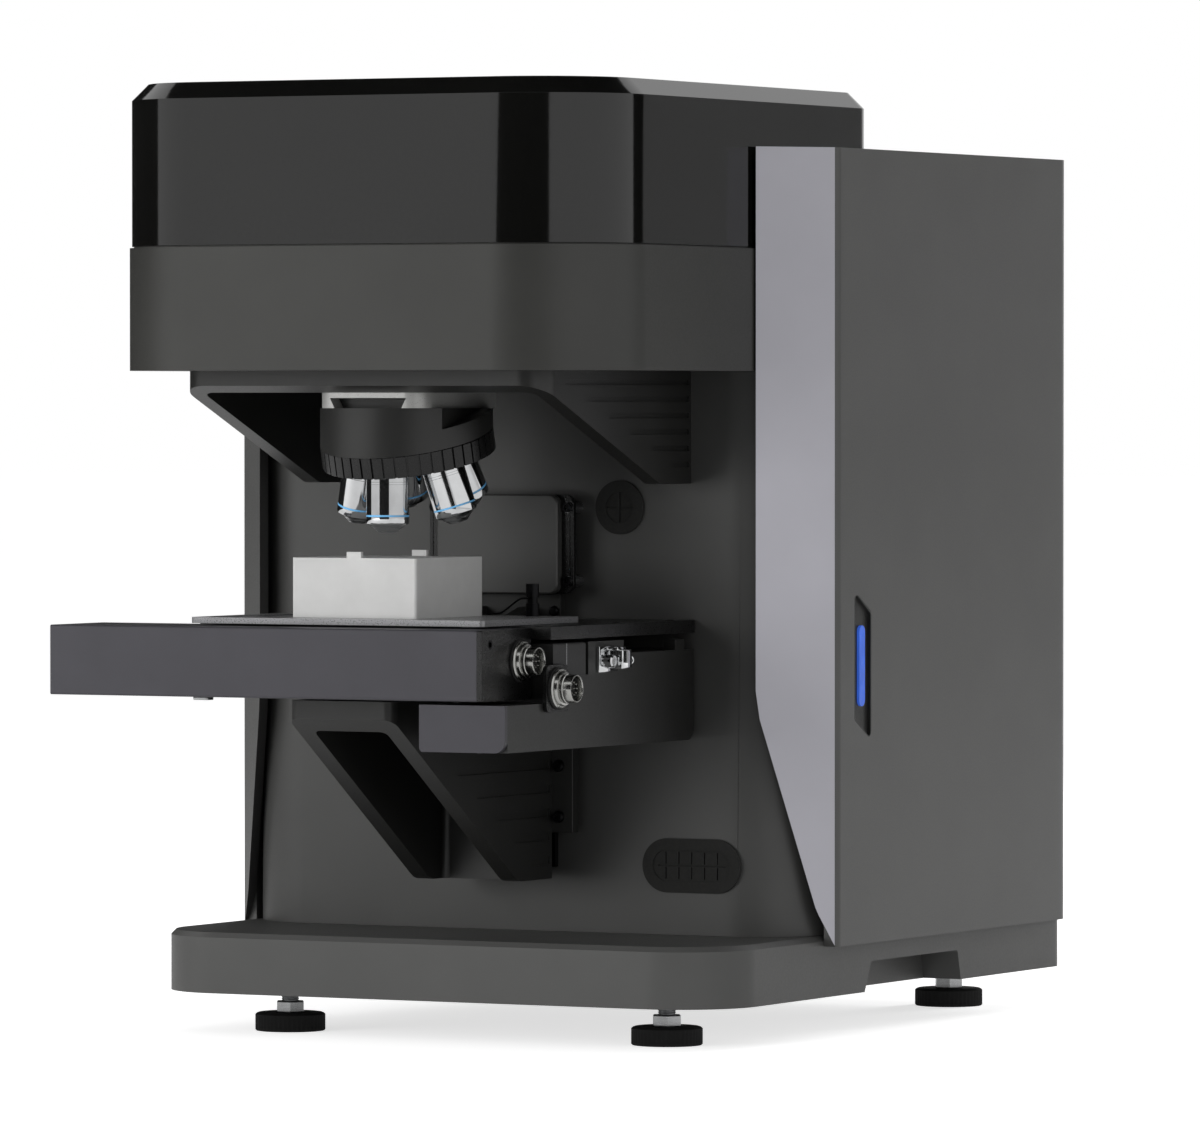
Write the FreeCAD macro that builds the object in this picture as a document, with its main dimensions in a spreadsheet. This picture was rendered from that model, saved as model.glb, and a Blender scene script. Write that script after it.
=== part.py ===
# Upright research microscope with a spectrometer head, a motorised stage and a tilted revolving nosepiece.
# Millimetres. +X is right, +Y is back, +Z is up, and the floor is at Z = 0.
import math
import os

import FreeCAD, Part
import Sketcher
from FreeCAD import Placement, Rotation, Vector

DOC = FreeCAD.newDocument("microscope")
SHEET = DOC.addObject("Spreadsheet::Sheet", "sizes")
ORIGIN = -1      # index of the sketch origin in a sketch constraint
DOWN_FLIP = 180  # degrees that turn a feature built upwards to point down

SIZES = {
    # base casting
    "base_width": 460, "base_front": 205.5, "base_rear": 362, "base_bottom": 30, "base_top": 73,
    "base_chamfer": 3.5, "base_corner": 58, "base_rear_corner": 22, "grip_front": 33, "grip_rear": 174,
    "grip_top": 51.5, "grip_flare": 10, "grip_depth": 30,
    # column housing
    "column_front": 77, "column_rear": 341, "column_top": 620, "column_corner": 60, "column_wall": 4,
    # side panels
    "panel_thick": 11, "panel_bottom": 66, "panel_top": 626, "panel_front": 42, "panel_round": 12,
    "panel_rear_round": 20, "panel_return": 6, "panel_return_length": 30, "panel_gap": 0.5,
    "bevel_inset": 41, "bevel_depth": 47, "bevel_thick": 8, "taper_start": 246, "taper_knee": 92,
    # status light
    "light_low": 209, "light_high": 300, "light_slope": 15, "light_front": -16.5, "light_width": 27,
    "light_recess": 5, "light_round": 4, "bezel_wall": 1.2, "bar_width": 9, "bar_height": 57,
    "bar_clearance": 0.1,
    # head
    "head_width": 397, "head_front": 330, "head_rear": 111, "head_bottom": 469.5, "head_seam": 555,
    "head_top": 669, "head_corner": 80, "head_rear_corner": 30, "head_wall": 8, "head_floor": 8,
    "ledge_inset": 3, "cover_inset": 1.6, "cover_chamfer": 11.5, "cover_wall": 4, "seam_gap": 1,
    "head_clearance": 0.8,
    # canopy under the head
    "canopy_width": 286, "canopy_front": 298, "canopy_wall": 12, "canopy_corner": 20, "canopy_lip": 459,
    "canopy_bottom": 390.5, "canopy_slope_end": 123, "canopy_blend": 24, "vent_pitch": 11.5,
    "vent_height": 3.6, "vent_depth": 2, "vent_first": 461.3, "vent_start": 265, "vent_step": 32,
    "vent_margin": 3,
    # grommets in the column front
    "grommet_x": 87, "grommet_z": 373.5, "grommet_radius": 19, "grommet_inner": 11, "grommet_stand": 2,
    "grommet_neck": 1.2, "slit_width": 1, "outlet_side": 86, "outlet_z": 122, "outlet_length": 77,
    "outlet_height": 38, "outlet_inner": 61, "outlet_inner_height": 22,
    # plate on standoffs
    "back_plate_width": 116, "back_plate_height": 70, "back_plate_bottom": 312.5, "back_plate_thick": 4,
    "back_plate_round": 7, "flange_stand": 12, "port_chamfer": 1, "front_plate_width": 97,
    "front_plate_thick": 7, "post_inset_x": 4.5, "post_inset_z": 9, "flange_post_radius": 4,
    "flange_shank": 2.4, "flange_head": 3.8, "flange_head_height": 1.4,
    # nosepiece
    "optic_y": 257, "mount_width": 85, "mount_front": 285, "mount_depth": 106, "mount_bottom": 443.6,
    "mount_round": 15, "dovetail_width": 60, "dovetail_height": 7, "dovetail_flare": 3.5,
    "dovetail_play": 0.4, "nose_tilt": 14.5, "apex_z": 528, "nose_radius": 60, "nose_flat": 48,
    "drum_rim": 14, "ring_radius": 60.5, "ring_top": 107.5, "ring_height": 15, "ring_gap": 0.4,
    "rib_count": 45, "rib_depth": 1.6, "rib_gap": 1.5, "shaft_radius": 10, "shaft_play": 0.05,
    "shaft_head": 15, "shaft_head_height": 3, "objective_count": 5, "barrel_radius": 14.9,
    "neck_radius": 10.2, "barrel_top": 131, "barrel_tip": 165.2, "tip_cone": 4, "tip_radius": 12.6,
    "cone_radius": 11.8, "lens_radius": 6.2, "lens_tip": 170.7, "band_from_apex": 158.9, "band_width": 1.6,
    "band_depth": 0.25, "seat_radius": 10.25, "shaft_top": 87.5, "seat_boss": 13, "neck_start": 117,
    "glass_radius": 5, "glass_thick": 2, "glass_inset": 0.5,
    # knee bracket that carries the stage
    "knee_width": 83, "knee_front": 323.5, "knee_rear": 94.5, "knee_wall": 13, "knee_top": 243,
    "knee_lip": 230.4, "knee_bottom": 111.5, "knee_slope_end": 144.6, "knee_blend": 22, "knee_corner": 8,
    "knee_back_wall": 31, "knee_roof": 12, "groove_pitch": 16.8, "groove_height": 5.5, "groove_depth": 1.5,
    "groove_first": 225.3, "groove_start": 288, "groove_step": 27.3, "groove_margin": 3,
    # carriage on the column
    "carriage_width": 116, "carriage_bottom": 144, "carriage_top": 262, "carriage_thick": 9,
    "tongue_width": 90, "tongue_top": 312, "gusset_x": 20, "gusset_thick": 11, "gusset_front": 136,
    "gusset_low": 292, "gusset_top": 303, "rail_spacing": 60, "rail_width": 14, "rail_height": 4.5,
    "rail_bottom": 119, "rail_top": 300, "block_width": 30, "block_length": 40, "rail_play": 0.3,
    "bolt_radius": 4.3, "bolt_height": 2.6, "bolt_x": 47, "tongue_bolt_x": 40, "tongue_bolt_z": 300,
    "tongue_bolt_radius": 3.8, "tongue_thick": 6,
    # Y drive under the stage
    "drive_right": 147, "drive_left": 81, "drive_front": 358, "drive_rear": 81, "drive_bottom": 211,
    "drive_low": 243, "drive_mid": 261, "drive_tab": 283.5, "drive_high": 274.5, "drive_low_end": 290,
    "drive_mid_end": 238, "cap_front": 289, "cap_rear": 242, "cap_round": 1.5, "drive_tab_end": 186,
    "drive_round": 8, "drive_plate": 4, "spacer_front": 109, "spacer_length": 14, "spacer_width": 9,
    "spacer_height": 7.5, "bed_left": 105, "bed_front": 288, "bed_thick": 12, "runner_width": 10,
    "runner_x": 70, "runner_height": 26, "runner_rear": 96, "slide_block": 20, "slide_length": 40,
    "slide_rear": 100, "slide_pitch": 65,
    # moving Y plate
    "table_thick": 9, "table_top": 295, "table_right": 147, "table_left": 130, "table_rear": 79,
    "table_front": 292, "notch_half": 60, "notch_front": 142, "key_front": 285, "key_rear": 215,
    "key_width": 10, "key_depth": 4, "key_reach": 70, "key_run": 52, "runner_play": 0.3,
    # X drive in the front cover
    "cover_left": 209, "cover_right": 131.5, "cover_front": 362, "cover_depth": 70, "cover_bottom": 245.5,
    "cover_top": 293.8, "cover_face": 4, "cover_round": 1.5, "cover_wall_x": 3, "end_screw_radius": 3.3,
    "end_screw_y": 350, "end_screw_z": 284, "end_screw_depth": 2.5, "end_screw_key": 4,
    # sample plate and what stands on it
    "plate_width": 230.6, "plate_front": 330, "plate_rear": 191, "plate_top": 299.5, "plate_thick": 4.2,
    "plate_corner": 3, "recess_x": 82, "recess_width": 26.2, "recess_length": 76.4, "recess_depth": 0.8,
    "sample_side": 98, "sample_depth": 95, "sample_height": 38.4, "sample_wall": 3, "lid_thick": 2.8,
    "lid_tab_width": 11.4, "lid_tab_height": 4.2, "lid_tab_thick": 3, "lid_lip": 2, "lid_play": 0.3,
    "post_x": 84, "post_y": 202, "post_radius": 4.6, "post_height": 22.5, "post_waist": 3.6,
    # connectors on the right
    "plug_flange": 14.5, "plug_flange_thick": 3, "plug_step": 11.5, "plug_radius": 9.6, "plug_length": 12,
    "plug_wall": 1.3, "plug_step_length": 5, "plug_core": 5, "plug_bore_depth": 9, "upper_plug_y": 308,
    "upper_plug_z": 272, "lower_plug_y": 288, "lower_plug_z": 253, "port_plate_front": 304,
    "port_plate_rear": 272, "port_plate_low": 237, "port_plate_high": 269, "port_plate_round": 4,
    "port_plate_thick": 3, "block_plug_y": 212, "block_plug_z": 271, "side_plug_width": 28,
    "side_plug_height": 16, "side_plug_plate": 3, "side_plug_rim": 4,
    # levelling feet
    "foot_x": 151.4, "foot_front": 129.7, "foot_rear": 322.8, "pad_radius": 25, "pad_height": 13,
    "pad_round": 2, "hex_flats": 19, "hex_height": 8, "stud_radius": 6.5, "stud_play": 0.05,
    "stud_reach": 30,
    # rear of the column
    "back_cover_side": 14, "back_cover_low": 96, "back_cover_high": 600, "back_cover_thick": 3,
    "inlet_side": 100, "inlet_z": 130, "inlet_width": 50, "inlet_height": 28, "inlet_cavity_width": 28,
    "inlet_cavity_height": 20, "inlet_cavity_depth": 14, "fan_side_gap": 120, "fan_z": 170, "fan_side": 92,
    "fan_slot": 6,
    # inside the head
    "module_gap": 12, "laser_width": 90, "laser_depth": 300, "laser_height": 70, "laser_front": 205,
    "module_split": 37, "spectro_depth": 250, "spectro_room": 60, "spectro_front": 155, "tube_radius": 14,
    "tube_wall": 2, "tube_top": 500,
}


class Size:
    """A length that knows its number and its formula in the sheet."""

    def __init__(self, value, text):
        self.value = float(value)
        self.text = text

    def _join(self, other, sign, value, swap=False):
        text = other.text if isinstance(other, Size) else repr(float(other))
        first, second = (text, self.text) if swap else (self.text, text)
        return Size(value, "(" + first + " " + sign + " " + second + ")")

    def __add__(self, other):
        return self._join(other, "+", self.value + number(other))

    def __radd__(self, other):
        return self._join(other, "+", self.value + number(other), True)

    def __sub__(self, other):
        return self._join(other, "-", self.value - number(other))

    def __rsub__(self, other):
        return self._join(other, "-", number(other) - self.value, True)

    def __mul__(self, other):
        return self._join(other, "*", self.value * number(other))

    __rmul__ = __mul__

    def __truediv__(self, other):
        return self._join(other, "/", self.value / number(other))

    def __neg__(self):
        return Size(-self.value, "(0 - " + self.text + ")")


class Sizes:
    """Reads a size of the sheet by its name."""

    def __getattr__(self, name):
        return Size(SIZES[name], "sizes." + name)


S = Sizes()
ZERO = Size(0, "0")


def number(value):
    return value.value if isinstance(value, Size) else float(value)


def formula(value):
    return value.text if isinstance(value, Size) else repr(float(value))

# places that follow the width of the base
OUTLET_X = S.base_width / 2 - S.outlet_side
INLET_X = S.base_width / 2 - S.inlet_side
FAN_X = S.fan_side_gap - S.base_width / 2


def trig(name, angle):
    """Sine, cosine or tangent of an angle in degrees, as a size."""
    value = getattr(math, name)(math.radians(number(angle)))
    return Size(value, name + "(" + formula(angle) + " * 1deg)")


def fill_sheet():
    for row, (name, value) in enumerate(SIZES.items(), start=1):
        SHEET.set("A%d" % row, name)
        SHEET.set("B%d" % row, str(value))
        SHEET.setAlias("B%d" % row, name)
    DOC.recompute()


def bind(thing, path, value):
    if isinstance(value, Size):
        thing.setExpression(path, value.text)


def place(thing, x=ZERO, y=ZERO, z=ZERO, rotation=None):
    """Puts a thing at a point given in sizes, with a fixed turn if one is given."""
    thing.Placement = Placement(Vector(number(x), number(y), number(z)), rotation or Rotation())
    for axis, value in (("x", x), ("y", y), ("z", z)):
        bind(thing, "Placement.Base." + axis, value)
    return thing


def place_turned(thing, base, axis, angle):
    """Puts a thing at a point and turns it about an axis, both of them bound to the sheet."""
    turn = Rotation(Vector(*[number(v) for v in axis]), number(angle))
    thing.Placement = Placement(Vector(*[number(v) for v in base]), turn)
    where = "vector(" + "; ".join(formula(v) for v in base) + ")"
    about = "vector(" + "; ".join(formula(v) for v in axis) + ")"
    thing.setExpression("Placement", "placement(%s; rotation(%s; %s))" % (where, about, formula(angle)))
    return thing


# Sketches and features of a part body

def new_body(label):
    body = DOC.addObject("PartDesign::Body", "body")
    body.Label = label
    return body


def origin_plane(body, role):
    return [item for item in body.Origin.OriginFeatures if item.Role == role][0]


def new_sketch(body, name, role, offset=None):
    sketch = body.newObject("Sketcher::SketchObject", name)
    sketch.AttachmentSupport = (origin_plane(body, role), [""])
    sketch.MapMode = "FlatFace"
    if offset is not None:
        sketch.AttachmentOffset = Placement(Vector(0, 0, number(offset)), Rotation())
        bind(sketch, "AttachmentOffset.Base.z", offset)
    return sketch


def pin_point(sketch, index, where, x, y):
    """Ties a point of the sketch to its distances from the sketch origin."""
    for kind, value in (("DistanceX", x), ("DistanceY", y)):
        found = sketch.addConstraint(constraint(kind, ORIGIN, 1, index, where, number(value)))
        bind(sketch, "Constraints[%d]" % found, value)


def constraint(*parts):
    return Sketcher.Constraint(*parts)


def tie(sketch, value, *parts):
    found = sketch.addConstraint(constraint(*parts, number(value)))
    bind(sketch, "Constraints[%d]" % found, value)


def corner_cut(before, here, after, radius):
    """Start, middle and end of the arc that rounds a corner."""
    to_before = (before - here).normalize()
    to_after = (after - here).normalize()
    half = to_before.getAngle(to_after) / 2
    reach = radius / math.tan(half)
    centre = here + (to_before + to_after).normalize() * (radius / math.sin(half))
    middle = centre + (here - centre).normalize() * radius
    return here + to_before * reach, middle, here + to_after * reach


def outline(sketch, corners):
    """Draws a closed outline. A corner is (x, y) or (x, y, radius), each of them a size."""
    points = [Vector(number(corner[0]), number(corner[1]), 0) for corner in corners]
    count = len(points)
    cuts = []
    for i, corner in enumerate(corners):
        here = points[i]
        if len(corner) == 2:
            cuts.append((here, None, here))
            continue
        before, after = points[i - 1], points[(i + 1) % count]
        cuts.append(corner_cut(Vector(before), Vector(here), Vector(after), number(corner[2])))
    lines = []
    for i in range(count):
        segment = Part.LineSegment(cuts[i][2], cuts[(i + 1) % count][0])
        lines.append(sketch.addGeometry(segment, False))
    for i, corner in enumerate(corners):
        inward, outward = lines[i - 1], lines[i]
        if len(corner) == 2:
            sketch.addConstraint(constraint("Coincident", inward, 2, outward, 1))
            pin_point(sketch, outward, 1, corner[0], corner[1])
            continue
        arc = Part.Arc(*cuts[i])
        arc_index = sketch.addGeometry(arc, False)
        start = sketch.getPoint(arc_index, 1)
        first, last = (1, 2) if (start - cuts[i][0]).Length < (start - cuts[i][2]).Length else (2, 1)
        corner_index = sketch.addGeometry(Part.Point(points[i]), True)
        sketch.addConstraint(constraint("Tangent", inward, 2, arc_index, first))
        sketch.addConstraint(constraint("Tangent", outward, 1, arc_index, last))
        sketch.addConstraint(constraint("PointOnObject", corner_index, 1, inward))
        sketch.addConstraint(constraint("PointOnObject", corner_index, 1, outward))
        pin_point(sketch, corner_index, 1, corner[0], corner[1])
        tie(sketch, corner[2], "Radius", arc_index)


def circle(sketch, x, y, radius):
    shape = Part.Circle(Vector(number(x), number(y), 0), Vector(0, 0, 1), number(radius))
    index = sketch.addGeometry(shape, False)
    pin_point(sketch, index, 3, x, y)
    tie(sketch, radius, "Radius", index)


def oblong(sketch, x, y, length, height, upright=False):
    """A slot outline with round ends, lying along X or standing along Y."""
    half, radius = (length - height) / 2, height / 2
    ends = (ZERO, half) if upright else (half, ZERO)
    one = Vector(number(x - ends[0]), number(y - ends[1]), 0)
    two = Vector(number(x + ends[0]), number(y + ends[1]), 0)
    along = (two - one).normalize()
    side = Vector(-along.y, along.x, 0) * number(radius)
    top = sketch.addGeometry(Part.LineSegment(one + side, two + side), False)
    low = sketch.addGeometry(Part.LineSegment(two - side, one - side), False)
    out = along * number(radius)
    far = sketch.addGeometry(Part.Arc(two + side, two + out, two - side), False)
    near = sketch.addGeometry(Part.Arc(one - side, one - out, one + side), False)
    for line, end, arc, mark in ((top, 2, far, two + side), (low, 1, far, two - side),
                                 (low, 2, near, one - side), (top, 1, near, one + side)):
        start = sketch.getPoint(arc, 1)
        which = 1 if (start - mark).Length < 1e-6 else 2
        sketch.addConstraint(constraint("Tangent", line, end, arc, which))
    pin_point(sketch, far, 3, x + ends[0], y + ends[1])
    pin_point(sketch, near, 3, x - ends[0], y - ends[1])
    tie(sketch, radius, "Radius", far)


def rectangle(sketch, x_low, y_low, x_high, y_high, radius=None):
    marks = [(x_low, y_low), (x_high, y_low), (x_high, y_high), (x_low, y_high)]
    outline(sketch, [mark + ((radius,) if radius else ()) for mark in marks])


def pad(body, sketch, length, reverse=False, middle=False):
    feature = body.newObject("PartDesign::Pad", "pad")
    feature.Profile = sketch
    feature.Length = number(length)
    bind(feature, "Length", length)
    feature.Reversed = reverse
    feature.Midplane = middle
    DOC.recompute()
    return feature


def pocket(body, sketch, length=None, reverse=False, middle=False):
    """Cuts a sketch out of a body, through all of it if no depth is given."""
    before = body.Shape.Volume
    feature = body.newObject("PartDesign::Pocket", "pocket")
    feature.Profile = sketch
    feature.Midplane = middle
    feature.Reversed = reverse
    if length is None:
        feature.Type = 1
    else:
        feature.Length = number(length)
        bind(feature, "Length", length)
    DOC.recompute()
    if body.Shape.Volume >= before - 1e-6:
        raise ValueError("a pocket of " + body.Label + " cuts nothing")
    return feature


def turn(body, sketch, cut=False, axis="Z_Axis"):
    """Turns a profile through a full circle about an axis of the body."""
    kind = "PartDesign::Groove" if cut else "PartDesign::Revolution"
    feature = body.newObject(kind, "turned")
    feature.Profile = sketch
    feature.ReferenceAxis = (origin_plane(body, axis), [""])
    feature.Angle = 360
    DOC.recompute()
    return feature


def edges_where(feature, test):
    """Names of the edges whose middle passes a test."""
    names = []
    for index, edge in enumerate(feature.Shape.Edges, start=1):
        middle = edge.valueAt((edge.FirstParameter + edge.LastParameter) / 2)
        if test(middle, edge):
            names.append("Edge%d" % index)
    if not names:
        raise ValueError("no edge found on " + feature.Label)
    return names


def soften(body, kind, size, test):
    """Rounds or bevels the edges of a body's last feature that pass a test."""
    base = body.Tip
    feature = body.newObject("PartDesign::" + kind, kind.lower())
    feature.Base = (base, edges_where(base, test))
    path = "Radius" if kind == "Fillet" else "Size"
    setattr(feature, path, number(size))
    bind(feature, path, size)
    DOC.recompute()
    return feature


def mirrored(label, source, flip_x=True):
    """A mirror copy of a body on the other side of the middle plane."""
    copy = DOC.addObject("Part::Mirroring", "mirror")
    copy.Source = source
    copy.Normal = Vector(1, 0, 0) if flip_x else Vector(0, 1, 0)
    copy.Label = label
    return copy


# Solids from primitives

def box(low, high, name="box"):
    item = DOC.addObject("Part::Box", name)
    for path, a, b in zip(("Length", "Width", "Height"), low, high):
        span = b - a
        setattr(item, path, number(span))
        bind(item, path, span if isinstance(span, Size) else Size(span, repr(float(span))))
    return place(item, *[v if isinstance(v, Size) else Size(v, repr(float(v))) for v in low])


TURNS = {
    "up": Rotation(),
    "down": Rotation(Vector(1, 0, 0), DOWN_FLIP),
    "right": Rotation(Vector(0, 1, 0), 90),
    "left": Rotation(Vector(0, 1, 0), -90),
    "back": Rotation(Vector(1, 0, 0), -90),
    "front": Rotation(Vector(1, 0, 0), 90),
}


def rod(base, radius, length, way="up", name="rod"):
    item = DOC.addObject("Part::Cylinder", name)
    item.Radius = number(radius)
    item.Height = number(length)
    bind(item, "Radius", radius)
    bind(item, "Height", length)
    return place(item, *[v if isinstance(v, Size) else Size(v, repr(float(v))) for v in base],
                 rotation=TURNS[way])


def hexagon_bar(base, flats, length, name="hexagon"):
    item = DOC.addObject("Part::Prism", name)
    item.Polygon = 6
    item.Circumradius = number(flats) / math.sqrt(3)
    item.Height = number(length)
    item.setExpression("Circumradius", formula(flats) + " / sqrt(3)")
    bind(item, "Height", length)
    return place(item, *base)


def cut_from(base, tools, label=None):
    item = DOC.addObject("Part::Cut", "cut")
    item.Base = base
    item.Tool = tools[0] if len(tools) == 1 else joined(tools)
    if label:
        item.Label = label
    DOC.recompute()
    return item


def joined(shapes, label=None):
    item = DOC.addObject("Part::MultiFuse", "joined")
    item.Shapes = shapes
    if label:
        item.Label = label
    DOC.recompute()
    return item


def group(shapes, label):
    """Separate like solids that share one file."""
    item = DOC.addObject("Part::Compound", "group")
    item.Links = shapes
    item.Label = label
    DOC.recompute()
    return item


def rounded(base, radius, test, label=None):
    """Rounds the edges of a solid that pass a test."""
    DOC.recompute()
    item = DOC.addObject("Part::Fillet", "rounded")
    item.Base = base
    names = edges_where(base, test)
    item.Edges = [(int(name[4:]), number(radius), number(radius)) for name in names]
    if label:
        item.Label = label
    DOC.recompute()
    return item


def named(item, label):
    item.Label = label
    return item


def base_casting():
    body = new_body("base_casting")
    half = S.base_width / 2
    sketch = new_sketch(body, "footprint", "XY_Plane", S.base_bottom)
    outline(sketch, [(-half, -S.base_front, S.base_corner), (half, -S.base_front, S.base_corner),
                     (half, S.base_rear, S.base_rear_corner), (-half, S.base_rear, S.base_rear_corner)])
    pad(body, sketch, S.base_top - S.base_bottom)
    top = number(S.base_top)
    soften(body, "Chamfer", S.base_chamfer, lambda middle, edge: abs(middle.z - top) < 1e-3)
    below = S.base_bottom - 5
    grip = [(S.grip_front - S.grip_flare - 3, below), (S.grip_rear + S.grip_flare - 3, below),
            (S.grip_rear, S.grip_top, Size(3, "3")), (S.grip_front, S.grip_top, Size(3, "3"))]
    for side in (1, -1):
        sketch = new_sketch(body, "grip", "YZ_Plane", (half - S.grip_depth) * side)
        outline(sketch, grip)
        pocket(body, sketch, S.grip_depth + 5, reverse=side > 0)
    sketch = new_sketch(body, "stud_bores", "XY_Plane", S.base_bottom)
    for x, y in foot_places():
        circle(sketch, x, y, S.stud_radius + S.stud_play)
    pocket(body, sketch, S.stud_reach - S.hex_height + 1, reverse=True)
    return body


def foot_places():
    return [(-S.foot_x, -S.foot_front), (S.foot_x, -S.foot_front),
            (-S.foot_x, S.foot_rear), (S.foot_x, S.foot_rear)]


def column_housing():
    body = new_body("column_housing")
    half = S.base_width / 2
    inner, round_in = half - S.column_wall, S.column_corner - S.column_wall
    sketch = new_sketch(body, "footprint", "XY_Plane", S.base_top)
    outline(sketch, [(-half, -S.column_front, S.column_corner), (half, -S.column_front, S.column_corner),
                     (half, S.column_rear), (-half, S.column_rear)])
    pad(body, sketch, S.column_top - S.base_top)
    beside = S.head_width / 2 + S.head_clearance
    behind = S.head_rear + S.head_clearance
    sketch = new_sketch(body, "head_seat", "XY_Plane", S.head_bottom)
    rectangle(sketch, -beside, -S.column_front - 5, beside, behind)
    pocket(body, sketch, S.column_top - S.head_bottom + 5, reverse=True)
    front = S.column_wall - S.column_front
    rear = S.column_rear - S.column_wall
    sketch = new_sketch(body, "hollow", "XY_Plane", S.base_top)
    outline(sketch, [(-inner, front, round_in), (inner, front, round_in), (inner, rear), (-inner, rear)])
    pocket(body, sketch, S.head_bottom - S.base_top - S.column_wall, reverse=True)
    sketch = new_sketch(body, "tower_hollow", "XY_Plane", S.base_top)
    rectangle(sketch, -inner, behind + S.column_wall, inner, rear)
    pocket(body, sketch, S.column_top - S.base_top - S.column_wall, reverse=True)
    sketch = new_sketch(body, "cable_holes", "XZ_Plane", S.column_front + 2)
    circle(sketch, S.grommet_x, S.grommet_z, S.grommet_radius - 3)
    oblong(sketch, OUTLET_X, S.outlet_z, S.outlet_length - 6, S.outlet_height - 6)
    pocket(body, sketch, S.column_wall + 4)
    sketch = new_sketch(body, "inlet_hole", "XZ_Plane", -S.column_rear - 2)
    rectangle(sketch, INLET_X - S.inlet_width / 2 + 4, S.inlet_z - S.inlet_height / 2 + 2,
              INLET_X + S.inlet_width / 2 - 4, S.inlet_z + S.inlet_height / 2 - 2)
    pocket(body, sketch, S.column_wall + 4, reverse=True)
    sketch = new_sketch(body, "fan_hole", "XZ_Plane", -S.column_rear - 2)
    circle(sketch, FAN_X, S.fan_z, S.fan_side / 2 - 2)
    pocket(body, sketch, S.column_wall + 4, reverse=True)
    return body


def panel_body(label):
    """The right-hand side panel: a bevelled front flange, a flat side and a short return at the back."""
    body = new_body(label)
    inside = S.base_width / 2
    outside = inside + S.panel_thick
    slope = Size(math.hypot(number(S.bevel_inset), number(S.bevel_depth)),
                 "sqrt(sizes.bevel_inset ^ 2 + sizes.bevel_depth ^ 2)")
    thick_x = S.bevel_depth / slope * S.bevel_thick
    thick_y = S.bevel_inset / slope * S.bevel_thick
    edge_x, edge_y = outside - S.bevel_inset, -S.panel_front - S.bevel_depth
    end_y = edge_y + thick_y + thick_x * S.bevel_depth / S.bevel_inset
    seat_y = end_y + (inside - edge_x) * S.bevel_depth / S.bevel_inset
    height = S.panel_top - S.panel_bottom
    sketch = new_sketch(body, "bevel", "XY_Plane", S.panel_bottom)
    outline(sketch, [(edge_x, edge_y), (outside, -S.panel_front, S.panel_round), (outside, S.panel_front),
                     (inside, S.panel_front), (inside, seat_y), (edge_x, end_y)])
    pad(body, sketch, height)
    sketch = new_sketch(body, "taper", "XZ_Plane", -seat_y)
    outline(sketch, [(edge_x - 20, S.taper_start), (edge_x, S.taper_start),
                     (edge_x + 2, S.taper_start - 20, Size(30, "30")),
                     (inside, S.taper_knee, Size(60, "60")), (outside - 1.5, S.panel_bottom),
                     (outside - 1.5, S.panel_bottom - 10), (edge_x - 20, S.panel_bottom - 10)])
    pocket(body, sketch, S.bevel_depth + 20, reverse=True)
    sketch = new_sketch(body, "side", "XY_Plane", S.panel_bottom)
    back = S.column_rear + S.panel_return
    outline(sketch, [(inside, seat_y), (outside, -S.panel_front + S.panel_round),
                     (outside, back, S.panel_rear_round), (inside - S.panel_return_length, back),
                     (inside - S.panel_return_length, S.column_rear), (inside, S.column_rear)])
    pad(body, sketch, height)
    sketch = new_sketch(body, "base_notch", "XY_Plane", S.panel_bottom)
    rectangle(sketch, inside - S.panel_return_length - 1, S.column_rear - 1, inside, back + 1)
    pocket(body, sketch, S.base_top - S.panel_bottom + S.panel_gap, reverse=True)
    return body


def light_outline(sketch, inset, radius):
    """The slanted window of the status light, drawn in Y and Z."""
    front, rear = S.light_front + inset, S.light_front + S.light_width - inset
    low, high, slope = S.light_low + inset, S.light_high - inset, S.light_slope
    outline(sketch, [(front, low + slope, radius), (rear, low, radius), (rear, high, radius),
                     (front, high + slope, radius)])


def side_panels():
    right = panel_body("side_panel_right")
    outside = S.base_width / 2 + S.panel_thick
    sketch = new_sketch(right, "light_recess", "YZ_Plane", outside - S.light_recess)
    light_outline(sketch, ZERO, S.light_round)
    pocket(right, sketch, S.light_recess + 2, reverse=True)
    left = mirrored("side_panel_left", panel_body("left_source"))
    return [right, left]


def status_light():
    floor = S.base_width / 2 + S.panel_thick - S.light_recess
    bezel = new_body("status_light_bezel")
    sketch = new_sketch(bezel, "window", "YZ_Plane", floor)
    light_outline(sketch, S.bar_clearance, S.light_round - S.bar_clearance)
    pad(bezel, sketch, S.light_recess)
    middle_y = S.light_front + S.light_width / 2
    middle_z = (S.light_low + S.light_high + S.light_slope) / 2
    sketch = new_sketch(bezel, "dish", "YZ_Plane", floor + S.light_recess / 2)
    light_outline(sketch, S.bar_clearance + S.bezel_wall, S.light_round - S.bar_clearance - S.bezel_wall)
    pocket(bezel, sketch, S.light_recess, reverse=True)
    sketch = new_sketch(bezel, "bar_slot", "YZ_Plane", floor + 1)
    oblong(sketch, middle_y, middle_z, S.bar_height, S.bar_width, upright=True)
    pocket(bezel, sketch, S.light_recess, reverse=True)
    bar = new_body("status_light_bar")
    sketch = new_sketch(bar, "lens", "YZ_Plane", floor + 1)
    oblong(sketch, middle_y, middle_z, S.bar_height - S.bar_clearance, S.bar_width - S.bar_clearance,
           upright=True)
    pad(bar, sketch, S.light_recess - 1.6)
    return [bezel, bar]


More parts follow.
